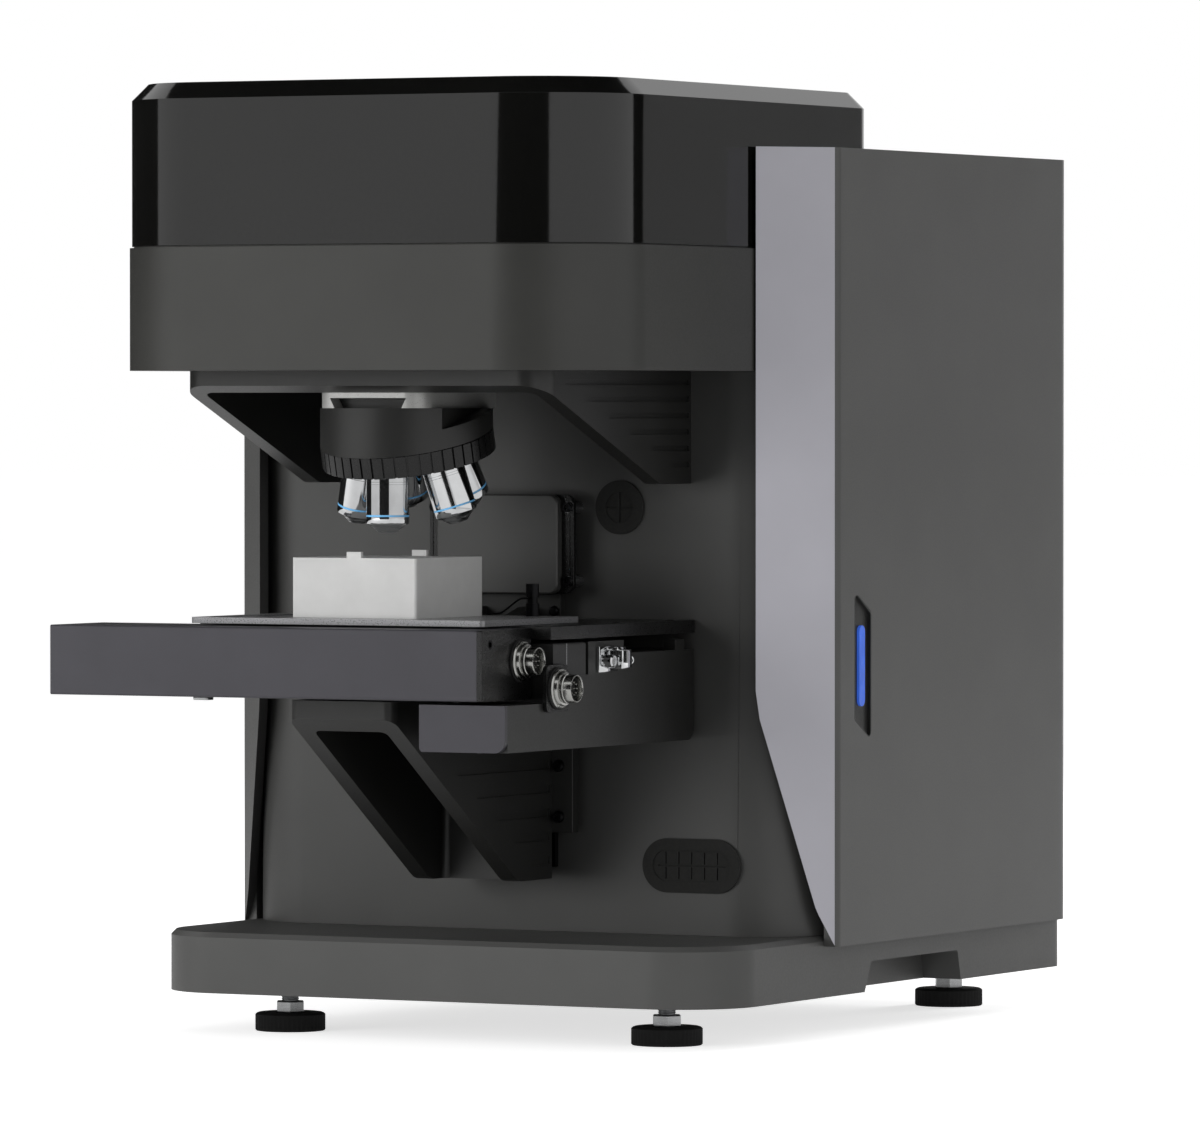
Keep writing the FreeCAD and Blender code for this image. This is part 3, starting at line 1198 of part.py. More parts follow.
def x_drive():
    body = new_body("x_drive_cover")
    left, right = -S.cover_left, S.cover_right - S.cover_face
    front, rear = -S.cover_front, S.cover_depth - S.cover_front
    sketch = new_sketch(body, "case", "YZ_Plane", left)
    corners = [(front, S.cover_bottom, S.cover_round), (rear, S.cover_bottom), (rear, S.cover_top),
               (front, S.cover_top, S.cover_round)]
    outline(sketch, corners)
    pad(body, sketch, right - left)
    sketch = new_sketch(body, "hollow", "YZ_Plane", right)
    wall = S.cover_wall_x
    rectangle(sketch, front + wall, S.cover_bottom + wall, rear - wall, S.cover_top - wall)
    pocket(body, sketch, right - left - wall)
    end = new_body("x_drive_end")
    sketch = new_sketch(end, "plate", "YZ_Plane", right)
    outline(sketch, corners)
    pad(end, sketch, S.cover_face)
    screw_y, screw_z = -S.end_screw_y, S.end_screw_z
    sketch = new_sketch(end, "screw_hole", "YZ_Plane", S.cover_right)
    circle(sketch, screw_y, screw_z, S.end_screw_radius)
    pocket(end, sketch, S.end_screw_depth)
    head = rod((S.cover_right - S.end_screw_depth, screw_y, screw_z), S.end_screw_radius, S.end_screw_depth,
               "right")
    key = place(hexagon_bar((ZERO, ZERO, ZERO), S.end_screw_key, S.end_screw_depth), S.cover_right - 1.5,
                screw_y, screw_z, TURNS["right"])
    screw = cut_from(head, [key], "end_screw")
    upper = connector("upper_connector", S.cover_right, -S.upper_plug_y, S.upper_plug_z, S.plug_length)
    return [body, end, screw, upper]


# X stage: sample plate and what stands on it

def sample_plate():
    """The plate with its keys below, and the seat for a glass slide beside the box."""
    body = new_body("sample_plate")
    half = S.plate_width / 2
    low = S.plate_top - S.plate_thick
    sketch = new_sketch(body, "plate", "XY_Plane", low)
    rectangle(sketch, -half, -S.plate_front, half, -S.plate_rear, S.plate_corner)
    pad(body, sketch, S.plate_thick)
    sketch = new_sketch(body, "keys", "XY_Plane", low)
    for y in (-S.key_front, -S.key_rear):
        rectangle(sketch, -S.key_reach, y - S.key_width / 2, S.key_reach, y + S.key_width / 2)
    pad(body, sketch, S.key_depth - S.runner_play, reverse=True)
    sketch = new_sketch(body, "slide_recess", "XY_Plane", S.plate_top)
    rectangle(sketch, -S.recess_x - S.recess_width / 2, -S.optic_y - S.recess_length / 2,
              S.recess_width / 2 - S.recess_x, S.recess_length / 2 - S.optic_y)
    pocket(body, sketch, S.recess_depth)
    return body


def clip_post():
    top = S.plate_top
    post = rod((S.post_x, -S.post_y, top), S.post_radius, S.post_height)
    ring = cut_from(rod((S.post_x, -S.post_y, top + S.post_height * 0.4), S.post_radius + 1,
                        S.post_height * 0.2),
                    [rod((S.post_x, -S.post_y, top), S.post_waist, S.post_height)])
    return cut_from(post, [ring], "clip_post")


def sample_box():
    half, deep = S.sample_side / 2, S.sample_depth / 2
    wall = S.sample_wall
    box_body = new_body("sample_box")
    sketch = new_sketch(box_body, "outer", "XY_Plane", S.plate_top)
    rectangle(sketch, -half, -S.optic_y - deep, half, deep - S.optic_y, Size(2, "2"))
    pad(box_body, sketch, S.sample_height)
    sketch = new_sketch(box_body, "inside", "XY_Plane", S.plate_top + S.sample_height)
    rectangle(sketch, wall - half, wall - S.optic_y - deep, half - wall, deep - wall - S.optic_y)
    pocket(box_body, sketch, S.sample_height - wall)
    top = S.plate_top + S.sample_height
    lid = new_body("sample_lid")
    sketch = new_sketch(lid, "plate", "XY_Plane", top)
    rectangle(sketch, -half, -S.optic_y - deep, half, deep - S.optic_y, Size(2, "2"))
    pad(lid, sketch, S.lid_thick)
    inset = wall + S.lid_play
    sketch = new_sketch(lid, "lip", "XY_Plane", top)
    rectangle(sketch, inset - half, inset - S.optic_y - deep, half - inset, deep - inset - S.optic_y)
    pad(lid, sketch, S.lid_lip, reverse=True)
    sketch = new_sketch(lid, "tabs", "XY_Plane", top + S.lid_thick)
    tab = S.lid_tab_width / 2
    for front in (-S.optic_y - deep, deep - S.lid_tab_thick - S.optic_y):
        rectangle(sketch, -tab, front, tab, front + S.lid_tab_thick)
    pad(lid, sketch, S.lid_tab_height)
    return [box_body, lid]


# Levelling feet

def levelling_foot(index, x, y):
    pad_body = new_body("foot_pad_%d" % index)
    sketch = new_sketch(pad_body, "disc", "XY_Plane")
    circle(sketch, x, y, S.pad_radius)
    pad(pad_body, sketch, S.pad_height)
    top = number(S.pad_height)
    soften(pad_body, "Fillet", S.pad_round, lambda middle, edge: middle.z > top - 1e-3)
    nut = hexagon_bar((x, y, S.pad_height), S.hex_flats, S.hex_height)
    stud = rod((x, y, S.pad_height), S.stud_radius, S.hex_height + S.stud_reach)
    return [pad_body, joined([nut, stud], "foot_stud_%d" % index)]


def levelling_feet():
    made = []
    for index, (x, y) in enumerate(foot_places(), start=1):
        made += levelling_foot(index, x, y)
    return made


BUILDERS = (base_casting, column_housing, side_panels, status_light, round_grommet, slot_grommet,
            rear_fittings, head_body, head_cover, head_inside, canopy, front_port, rail_pair,
            nosepiece_mount, nosepiece_body, nosepiece_shaft, turret_ring, objectives, knee,
            stage_carriage, carriage_hardware, stage_bed, y_drive_box, drive_cap, drive_ports, table_plate,
            table_blocks, x_drive, sample_plate, clip_post, sample_box, levelling_feet)


def check_document():
    """Stops if any object of the document has failed."""
    for item in DOC.Objects:
        if "Invalid" in item.State or "Error" in item.State:
            raise ValueError("object in error: " + item.Label)


def check_shape(item):
    shape = item.Shape
    if shape.isNull() or not shape.isValid() or not shape.Solids:
        raise ValueError("no valid solid: " + item.Label)


def main():
    fill_sheet()
    pieces = []
    for build in BUILDERS:
        made = build()
        pieces += made if isinstance(made, list) else [made]
    DOC.recompute()
    check_document()
    for item in pieces:
        check_shape(item)
    os.makedirs("parts", exist_ok=True)
    for item in pieces:
        item.Shape.exportStep("parts/" + item.Label + ".step")
    print(len(pieces), "sub-parts written")


main()
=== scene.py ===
"""Looks of an upright spectroscopy microscope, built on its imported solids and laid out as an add-on."""
import math

import bmesh
import bpy
from mathutils import Matrix, Vector


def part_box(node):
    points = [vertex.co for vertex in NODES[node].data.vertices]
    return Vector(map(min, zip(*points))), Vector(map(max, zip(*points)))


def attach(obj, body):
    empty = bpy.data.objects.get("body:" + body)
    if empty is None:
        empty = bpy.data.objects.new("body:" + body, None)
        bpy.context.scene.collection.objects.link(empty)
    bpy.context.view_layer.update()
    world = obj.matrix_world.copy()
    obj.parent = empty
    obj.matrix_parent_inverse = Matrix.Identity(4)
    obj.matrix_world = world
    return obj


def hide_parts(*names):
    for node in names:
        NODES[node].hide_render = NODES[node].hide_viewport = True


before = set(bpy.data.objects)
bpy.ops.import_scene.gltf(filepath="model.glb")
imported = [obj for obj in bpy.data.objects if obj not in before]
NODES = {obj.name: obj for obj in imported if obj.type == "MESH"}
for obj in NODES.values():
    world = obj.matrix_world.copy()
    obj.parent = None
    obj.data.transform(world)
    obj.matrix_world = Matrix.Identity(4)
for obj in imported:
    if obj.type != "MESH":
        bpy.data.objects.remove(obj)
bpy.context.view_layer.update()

bl_info = {
    "name": "Spectroscopy microscope looks",
    "version": (1, 0, 0),
    "blender": (4, 5, 0),
    "location": "3D View > Sidebar > Microscope",
    "description": "Dresses the packed solids of a microscope with finishes, fasteners and sockets",
    "category": "Object",
}

MM = 0.001
PHOTO_WIDTH = 1200
FOCAL_PIXELS = 8776.7  # focal length of the photograph, in its own pixels
COLOUR_STOPS = (0.35, 0.68)  # where a noise turns from a finish's first colour to its second
NOISE_LOW, NOISE_HIGH = 0.3, 0.7  # most of a noise lies between these
BAND_STEP = 2 * math.pi / 20  # distance between the bands of a wave texture at scale 1
BARRELS = 5  # seats on the revolving ring
APEX = Vector((0, -0.257, 0.528))  # where the light axes of all the barrels meet
FLANGE_SLANT = 0.754  # sideways part of the slanted flange's normal
FLOOR_TO_EYE, FLOOR_IN_GLOSS = 0.68, 0.3  # glow of the floor to the camera and in reflections

# Places on the solids, in mm
FAN = (-110, 333.5, 170)
INLET = (130, 130)
UPPER_SOCKET = (131.5, -308, 272)
LOWER_SOCKET = (150.0, -288, 253)
THUMB_SCREW = (149, -219.5, 270)
PULL_RING = (157, -196.9, 270)


# Colour and node helpers

def linear(code):
    """Linear colour of an sRGB hex code."""
    parts = [int(code[i:i + 2], 16) / 255 for i in (1, 3, 5)]
    return [c / 12.92 if c <= 0.04045 else ((c + 0.055) / 1.055) ** 2.4 for c in parts]


def add_node(tree, kind, settings=None, links=None):
    """Adds a node, sets its properties, colour stops and sockets, and links sources into its sockets."""
    node = tree.nodes.new(kind)
    for key, value in (settings or {}).items():
        if key == "stops":
            for element, (position, colour) in zip(node.color_ramp.elements, value):
                element.position, element.color = position, (*colour, 1.0)
        elif isinstance(key, int) or key in node.inputs:
            node.inputs[key].default_value = value
        else:
            setattr(node, key, value)
    for key, source in (links or {}).items():
        tree.links.new(source, node.inputs[key])
    return node


def new_material(name):
    """An empty material with its output node and the object's own coordinates."""
    material = bpy.data.materials.new(name)
    material.use_nodes = True
    tree = material.node_tree
    tree.nodes.clear()
    return material, tree, add_node(tree, "ShaderNodeOutputMaterial"), add_node(tree, "ShaderNodeTexCoord")


def per_mm(size):
    """Scale of a noise whose features are about size mm wide."""
    return 1.0 / (size * MM)


def clouded(colour, lift):
    """A colour and a paler one, between which the clouds of a finish run."""
    return colour, [min(1.0, part * lift) for part in colour]


def chosen(group):
    """One of the groups of sizes and colours in the sidebar."""
    return getattr(bpy.context.scene, "microscope_" + group)


# Finishes

def layered(name, tones, cloud, shader, grain=None, rough=None, relief=None, wavy=False, fading=0.55):
    """A surface in layers: clouds between two tones, and a grain that moves the gloss and the relief.
    Cloud and grain are (size in mm, detail), rough is (least, most), relief is (strength, depth in metres).
    Where there is no grain, and for a wavy relief, they follow the clouds."""
    material, tree, output, place = new_material(name)
    clouds = add_node(tree, "ShaderNodeTexNoise",
                      {"Scale": per_mm(cloud[0]), "Detail": cloud[1], "Roughness": 0.55},
                      {"Vector": place.outputs["Object"]})
    grains = clouds
    if grain:
        grains = add_node(tree, "ShaderNodeTexNoise",
                          {"Scale": per_mm(grain[0]), "Detail": grain[1], "Roughness": fading},
                          {"Vector": place.outputs["Object"]})
    shade = add_node(tree, "ShaderNodeValToRGB", {"stops": zip(COLOUR_STOPS, tones)},
                     {"Fac": clouds.outputs["Fac"]})
    links = {"Base Color": shade.outputs["Color"]}
    if rough:
        gloss = add_node(tree, "ShaderNodeMapRange",
                         {"From Min": NOISE_LOW, "From Max": NOISE_HIGH, "To Min": rough[0],
                          "To Max": rough[1]}, {"Value": grains.outputs["Fac"]})
        links["Roughness"] = gloss.outputs["Result"]
    if relief:
        bump = add_node(tree, "ShaderNodeBump", {"Strength": relief[0], "Distance": relief[1]},
                        {"Height": (clouds if wavy else grains).outputs["Fac"]})
        links["Normal"] = bump.outputs["Normal"]
    if "Emission Strength" in shader:
        links["Emission Color"] = shade.outputs["Color"]
    surface = add_node(tree, "ShaderNodeBsdfPrincipled", shader, links)
    tree.links.new(surface.outputs[0], output.inputs["Surface"])
    return material


def powder_coat(name, colour, lift, roughness, grain_mm=1.1, bump=0.06):
    """Polyester powder coat, sprayed dry and baked: an even satin skin with a faint orange peel.
    The film drifts in thickness over about 90 mm. Its grain is about 0.3 mm and is drawn 1.1 mm or
    more wide so that it shows."""
    return layered(name, clouded(colour, lift), (90.0, 3.0), {"IOR": 1.5}, (grain_mm, 2.0),
                   (roughness - 0.05, roughness + 0.05), (bump, 0.0002))


def moulded_nylon(name, colour, lift):
    """Glass-filled nylon, moulded in an eroded tool: a dull black with a fine stipple.
    The real stipple is about 0.2 mm and is drawn 0.9 mm wide so that it shows."""
    return layered(name, clouded(colour, lift), (90.0, 3.0), {"IOR": 1.53}, (0.9, 2.0),
                   (0.45, 0.55), (0.1, 0.0002))


def stoved_enamel(name, colour, lift):
    """Enamel run into a turned groove and stoved: a smooth, fairly glossy colour ring.
    Its ripple is about 0.6 mm wide."""
    return layered(name, clouded(colour, lift), (90.0, 3.0), {"IOR": 1.52}, (0.6, 2.0),
                   (0.25, 0.35), (0.02, 0.0002))


def matt_board(name, colour, lift):
    """Card faced with matt paper, as used to shape reflections and to line sockets: no gloss at all.
    The paper's fibres are about 0.1 mm and are drawn 1.1 mm wide so that they show."""
    return layered(name, clouded(colour, lift), (90.0, 3.0), {"IOR": 1.5}, (1.1, 2.0),
                   (0.75, 0.85), (0.06, 0.0002))


def moulded_gloss(name, colour, lift):
    """Black ABS, moulded in a polished tool: a deep gloss with slow waves of a few hundredths.
    The waves are about 120 mm long, and the fine dust is drawn 2.5 mm wide so that it shows."""
    return layered(name, clouded(colour, lift), (120.0, 1.0), {"IOR": 1.52}, (2.5, 2.0),
                   (0.07, 0.12), (0.02, 0.002), wavy=True)


def anodised(name, colour, lift, roughness, metallic):
    """Aluminium, bead blasted and anodised: matte, a little metallic, with the blast's fine tooth.
    The tooth is about 0.1 mm and is drawn 0.8 mm wide so that it shows."""
    return layered(name, clouded(colour, lift), (60.0, 3.0), {"Metallic": metallic}, (0.8, 2.0),
                   (roughness - 0.06, roughness + 0.06), (0.08, 0.0001), fading=0.5)


def plated(name, colour, roughness, smear):
    """Polished and plated brass, as on lens barrels and plugs: bright, with faint wiping marks.
    The marks are about 6 mm wide, as a fingertip in a cloth leaves them."""
    return layered(name, clouded(colour, 1.06), (6.0, 3.0), {"Metallic": 1.0},
                   rough=(roughness, roughness + smear))


def turned_steel(name, colour, roughness):
    """Zinc plated or ground steel, with the fine lines of the lathe or grinding wheel.
    The lines are about 0.15 mm apart and are drawn 1 mm apart so that they show."""
    material, tree, output, place = new_material(name)
    lines = add_node(tree, "ShaderNodeTexWave",
                     {"wave_type": "BANDS", "bands_direction": "Z", "Scale": BAND_STEP * per_mm(0.98),
                      "Distortion": 2.0, "Detail": 2.0}, {"Vector": place.outputs["Object"]})
    gloss = add_node(tree, "ShaderNodeMapRange",
                     {"From Min": NOISE_LOW, "From Max": NOISE_HIGH, "To Min": roughness - 0.05,
                      "To Max": roughness + 0.08}, {"Value": lines.outputs["Fac"]})
    cloud = add_node(tree, "ShaderNodeTexNoise", {"Scale": per_mm(8.0), "Detail": 3.0, "Roughness": 0.55},
                     {"Vector": place.outputs["Object"]})
    shade = add_node(tree, "ShaderNodeValToRGB", {"stops": zip(COLOUR_STOPS, clouded(colour, 1.15))},
                     {"Fac": cloud.outputs["Fac"]})
    bump = add_node(tree, "ShaderNodeBump", {"Strength": 0.05, "Distance": 0.0001},
                    {"Height": lines.outputs["Fac"]})
    surface = add_node(tree, "ShaderNodeBsdfPrincipled", {"Metallic": 1.0},
                       {"Base Color": shade.outputs["Color"], "Roughness": gloss.outputs["Result"],
                        "Normal": bump.outputs["Normal"]})
    tree.links.new(surface.outputs[0], output.inputs["Surface"])
    return material


def moulded_rubber(name, colour, lift):
    """Nitrile rubber, pressed in a blasted mould: dull, slightly dusty black.
    The dust is drawn 1.6 mm wide so that it shows."""
    return layered(name, clouded(colour, lift), (1.6, 4.0), {"Roughness": 0.85, "IOR": 1.52},
                   relief=(0.15, 0.0003))


def frosted_acrylic(name, colour, lift):
    """Acrylic sheet, sanded to a frost: pale grey, milky, with soft light inside.
    The sanding is about 0.1 mm and is drawn 0.9 mm wide so that it shows."""
    milk = {"Roughness": 0.42, "IOR": 1.49, "Subsurface Weight": 0.25, "Subsurface Scale": 0.004,
            "Subsurface Radius": (1.0, 1.0, 1.0)}
    return layered(name, clouded(colour, lift), (25.0, 3.0), milk, (0.9, 2.0),
                   relief=(0.10, 0.0002))


def lit_lens(name, colour, strength):
    """Blue polycarbonate light guide, moulded clear, with its lamps on: an even glow with soft patches.
    The patches are as wide as the lamps are apart, about 20 mm."""
    return layered(name, clouded(colour, 1.2), (20.0, 1.0),
                   {"Roughness": 0.25, "IOR": 1.58, "Emission Strength": strength})


def coated_glass(name, colour, sheen):
    """Optical crown glass, polished and coated against reflection: dark and clear, with a violet sheen.
    The sheen drifts over about 4 mm, the width of a front lens."""
    clear = {"Roughness": 0.02, "IOR": 1.52, "Transmission Weight": 0.6, "Coat Weight": 0.5,
             "Coat Roughness": 0.03}
    return layered(name, (colour, sheen), (4.0, 1.0), clear)


FINISHES = {}


def finish(key):
    """The finish with this key, made once."""
    if key not in FINISHES:
        FINISHES[key] = MAKERS[key]()
    return FINISHES[key]


MAKERS = {
    "housing": lambda: powder_coat("black_powder_coat", chosen("housing").column_coat, 1.139, 0.44),
    "canopy": lambda: powder_coat("canopy_coat", linear("#1c1c1b"), 1.246, 0.38),
    "panel": lambda: powder_coat("graphite_powder_coat", chosen("housing").panel_coat, 1.11, 0.44),
    # Pale violet-grey for the right panel's slanted flange: a painted highlight, as the flange wears the
    # panel's own paint and is pale only in the light it catches
    "bevel": lambda: powder_coat("flange_painted_highlight_coat", linear("#bab9c1"), 1.06, 0.42),
    "band": lambda: powder_coat("head_band_coat", chosen("housing").head_coat, 1.176, 0.42),
    "casting": lambda: powder_coat("casting_coat", linear("#484847"), 1.116, 0.45, 1.4, 0.09),
    "gloss": lambda: moulded_gloss("black_gloss_abs", linear("#0b0b0a"), 1.317),
    "stage": lambda: powder_coat("stage_coat", linear("#191918"), 1.339, 0.40),
    "drive": lambda: anodised("violet_grey_anodised", linear("#38373c"), 1.141, 0.42, 0.15),
    "plate": lambda: anodised("grey_anodised_plate", linear("#8a8a8c"), 1.097, 0.30, 0.5),
    "black_alloy": lambda: anodised("black_anodised", linear("#0d0d0d"), 1.618, 0.30, 0.2),
    "chrome": lambda: plated("nickel_chrome_plate", linear("#c9cacb"), 0.055, 0.03),
    "plug": lambda: plated("nickel_plated_brass", linear("#a9a9a6"), 0.20, 0.04),
    "steel": lambda: turned_steel("zinc_plated_steel", linear("#a8a9aa"), 0.30),
    "dark_steel": lambda: turned_steel("blackened_steel", linear("#1c1c1d"), 0.38),
    "rubber": lambda: moulded_rubber("nitrile_rubber", linear("#070707"), 1.894),
    "grommet": lambda: moulded_rubber("moulded_grommet_rubber", linear("#1b1b1a"), 1.367),
    "black_plastic": lambda: moulded_nylon("moulded_black_nylon", linear("#0e0e0e"), 1.483),
    "acrylic": lambda: frosted_acrylic("frosted_acrylic", linear("#c4c4c3"), 1.07),
    "mount": lambda: anodised("grey_anodised_mount", linear("#a2a2a0"), 1.084, 0.32, 0.3),
    "blue": lambda: lit_lens("blue_light_guide", chosen("housing").status_colour, 0.62),
    "band_blue": lambda: stoved_enamel("light_blue_enamel", chosen("lenses").ring_enamel, 1.13),
    "glass": lambda: coated_glass("coated_crown_glass", linear("#5c6270"), linear("#8f94b8")),
    "black_board": lambda: matt_board("matt_black_board", linear("#050505"), 1.4),
    "grey_board": lambda: matt_board("matt_grey_board", linear("#a4a4a4"), 1.055),
}

FINISHED_NODES = {
    "casting": ("base_casting",),
    "housing": ("column_housing", "port_cover"),
    "panel": ("side_panel_right", "side_panel_left", "rear_cover"),
    "stage": ("status_light_bezel", "nosepiece_body", "stage_knee", "stage_carriage", "y_drive_box"),
    "blue": ("status_light_bar",),
    "grommet": ("cable_grommet_round", "cable_grommet_slot"),
    "black_plastic": ("mains_inlet", "drive_cap"),
    "band": ("head_body",),
    "gloss": ("head_cover",),
    "black_alloy": ("laser_module", "spectrometer_module", "beam_tube", "port_flange", "turret_ring",
                    "stage_bed", "port_plate", "table_plate", "x_drive_end"),
    "canopy": ("canopy",),
    "steel": ("flange_posts", "nosepiece_shaft", "guide_blocks", "y_runners", "table_blocks"),
    "dark_steel": ("guide_rails", "carriage_bolts", "end_screw", "clip_post"),
    "mount": ("nosepiece_mount",),
    "glass": ("objective_lenses",),
    "drive": ("y_drive_front", "x_drive_cover"),
    "plug": ("lower_connector", "upper_connector"),
    "chrome": ("side_connector",),
    "plate": ("sample_plate",),
    "acrylic": ("sample_box", "sample_lid"),
}
NODE_FINISH = {node: key for key, nodes in FINISHED_NODES.items() for node in nodes}


# Mesh helpers

def shade_by_angle(mesh, degrees=35):
    """Smooth faces, with the sharp edges kept sharp."""
    limit = math.radians(degrees)
    work = bmesh.new()
    work.from_mesh(mesh)
    for face in work.faces:
        face.smooth = True
    for edge in work.edges:
        edge.smooth = len(edge.link_faces) == 2 and edge.calc_face_angle(0.0) < limit
    work.to_mesh(mesh)
    work.free()


def add_object(name, data):
    """A new object in the scene."""
    item = bpy.data.objects.new(name, data)
    bpy.context.scene.collection.objects.link(item)
    return item


def make_piece(name, work, key, body):
    """Turns a bmesh into a piece with a finish that rides on a body."""
    bmesh.ops.remove_doubles(work, verts=work.verts, dist=1e-7)
    bmesh.ops.recalc_face_normals(work, faces=work.faces)
    mesh = bpy.data.meshes.new(name)
    work.to_mesh(mesh)
    work.free()
    shade_by_angle(mesh)
    mesh.materials.append(finish(key))
    piece = add_object(name, mesh)
    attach(piece, body)
    return piece


def aim_at(direction):
    """Turns +Z to a direction."""
    return Vector((0, 0, 1)).rotation_difference(Vector(direction)).to_matrix().to_4x4()


def add_ring(work, place, height, reaches):
    """Adds a ring of points at a height, one for each reach from the axis, in mm."""
    ring = []
    for step, reach in enumerate(reaches):
        angle = 2 * math.pi * step / len(reaches)
        point = Vector((reach * MM * math.cos(angle), reach * MM * math.sin(angle), height * MM))
        ring.append(work.verts.new(place @ point))
    return ring


def join_rings(work, rings):
    """Adds the sides between rings with as many points."""
    for low, high in zip(rings, rings[1:]):
        for step in range(len(low)):
            after = (step + 1) % len(low)
            work.faces.new((low[step], low[after], high[after], high[step]))


def lathe(work, profile, place, segments=48):
    """Adds a turned solid from (radius, height) pairs in mm; a radius of 0 is a point on the axis."""
    rings = [add_ring(work, place, height, [radius] * (segments if radius else 1))
             for radius, height in profile]
    for low, high in zip(rings, rings[1:]):
        for step in range(segments):
            after = (step + 1) % segments
            if len(low) == 1 and len(high) == 1:
                continue
            if len(low) == 1:
                work.faces.new((low[0], high[step], high[after]))
            elif len(high) == 1:
                work.faces.new((low[step], low[after], high[0]))
            else:
                work.faces.new((low[step], low[after], high[after], high[step]))


def soft_block(work, low, high, round_mm=0.5, segments=2):
    """Adds a block with rounded edges, from its lowest to its highest corner in mm."""
    size = [(b - a) * MM for a, b in zip(low, high)]
    centre = [(a + b) / 2 * MM for a, b in zip(low, high)]
    verts = bmesh.ops.create_cube(work, size=1.0)["verts"]
    for vert in verts:
        vert.co = Vector([vert.co[i] * size[i] + centre[i] for i in range(3)])
    edges = list({edge for vert in verts for edge in vert.link_edges})
    reach = min(round_mm * MM, min(size) * 0.45)
    bmesh.ops.bevel(work, geom=edges, offset=reach, segments=segments, affect="EDGES", profile=0.5)


def socket_screw(work, place, radius, height, key=0.5):
    """Adds a cap screw head with a hexagon socket; place puts +Z along the screw's outward axis."""
    rim = radius * 0.12
    lathe(work, [(radius, 0), (radius, height - rim), (radius - rim, height), (radius * key + 0.15, height),
                 (radius * key, height - 0.15)], place, 28)
    sides = [add_ring(work, place, depth, [radius * key] * 6) for depth in (height - 0.15, height * 0.35)]
    join_rings(work, sides)
    work.faces.new(sides[-1])


def screw_place(x, y, z, direction):
    """Frame at a point in mm, with +Z along a direction."""
    return Matrix.Translation(Vector((x, y, z)) * MM) @ aim_at(direction)


def soften_node(name, width, segments=2):
    """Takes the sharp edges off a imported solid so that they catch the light."""
    node = NODES[name]
    weld = node.modifiers.new("join_faces", "WELD")
    weld.merge_threshold = 1e-6
    bevel = node.modifiers.new("broken_edges", "BEVEL")
    bevel.width = width
    bevel.segments = segments
    bevel.limit_method = "ANGLE"
    bevel.angle_limit = math.radians(30)
    even = node.modifiers.new("even_shading", "WEIGHTED_NORMAL")
    even.mode = "FACE_AREA"
    even.weight = 60
    even.keep_sharp = False


def dress(names):
    """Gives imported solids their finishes."""
    for name in names:
        mesh = NODES[name].data
        mesh.materials.clear()
        mesh.materials.append(finish(NODE_FINISH[name]))


# Sizes and colours a user may change

class HousingSettings(bpy.types.PropertyGroup):
    """Edges, screws and coats of the housing"""
    edge: bpy.props.FloatProperty(name="Edge radius", description="Radius of the sheet and casting edges",
                                  default=0.0007, min=0.0001, max=0.003, precision=5, unit="LENGTH",
                                  subtype="DISTANCE")
    screw_radius: bpy.props.FloatProperty(name="Screw head", description="Radius of the cover screw heads",
                                          default=0.0036, min=0.001, max=0.008, precision=5, unit="LENGTH",
                                          subtype="DISTANCE")
    column_coat: bpy.props.FloatVectorProperty(name="Column coat", description="Colour of the column",
                                               size=3, subtype="COLOR", default=linear("#3a3a39"),
                                               min=0.0, max=1.0)
    panel_coat: bpy.props.FloatVectorProperty(name="Panel coat", description="Colour of the side panels",
                                              size=3, subtype="COLOR", default=linear("#4c4c4b"),
                                              min=0.0, max=1.0)
    head_coat: bpy.props.FloatVectorProperty(name="Head coat", description="Colour of the head's band",
                                             size=3, subtype="COLOR", default=linear("#2c2c2a"),
                                             min=0.0, max=1.0)
    status_colour: bpy.props.FloatVectorProperty(name="Status light", description="Colour of its lens",
                                                 size=3, subtype="COLOR", default=linear("#2f55b4"),
                                                 min=0.0, max=1.0)


class LensSettings(bpy.types.PropertyGroup):
    """The revolving ring and its barrels"""
    count: bpy.props.IntProperty(name="Lens barrels", description="Barrels on the revolving ring",
                                 default=BARRELS, min=1, max=BARRELS)
    tilt: bpy.props.FloatProperty(name="Ring tilt", description="Tilt of the revolving ring",
                                  default=math.radians(14.5), unit="ROTATION", subtype="ANGLE")
    ring_height: bpy.props.FloatProperty(name="Colour ring", description="Height of the colour ring",
                                         default=0.0017, min=0.0002, max=0.004, precision=5, unit="LENGTH",
                                         subtype="DISTANCE")
    ring_enamel: bpy.props.FloatVectorProperty(name="Ring enamel", description="Colour of the rings",
                                               size=3, subtype="COLOR", default=linear("#6db4e6"),
                                               min=0.0, max=1.0)


class StageSettings(bpy.types.PropertyGroup):
    """Small parts of the stage"""
    wire: bpy.props.FloatProperty(name="Clip wire", description="Radius of the sample clip's wire",
                                  default=0.0007, min=0.0002, max=0.002, precision=5, unit="LENGTH",
                                  subtype="DISTANCE")
    pins: bpy.props.IntProperty(name="Socket pins", description="Pins in a circle in each round socket",
                                default=8, min=3, max=14)


class StudioSettings(bpy.types.PropertyGroup):
    """Floor and lights"""
    floor: bpy.props.FloatVectorProperty(name="Floor", description="Colour of the studio floor", size=3,
                                         subtype="COLOR", default=(0.9, 0.9, 0.9), min=0.0, max=1.0)
    key: bpy.props.FloatProperty(name="Key light", description="Power of the large key light", default=62.0,
                                 min=0.0, unit="POWER")
    fill: bpy.props.FloatProperty(name="Fill light", description="Power that the side and rim lights share",
                                  default=22.0, min=0.0, unit="POWER")
    ambient: bpy.props.FloatProperty(name="Surround", description="Brightness of the white room as a light",
                                     default=0.36, min=0.0, max=1.0, subtype="FACTOR")


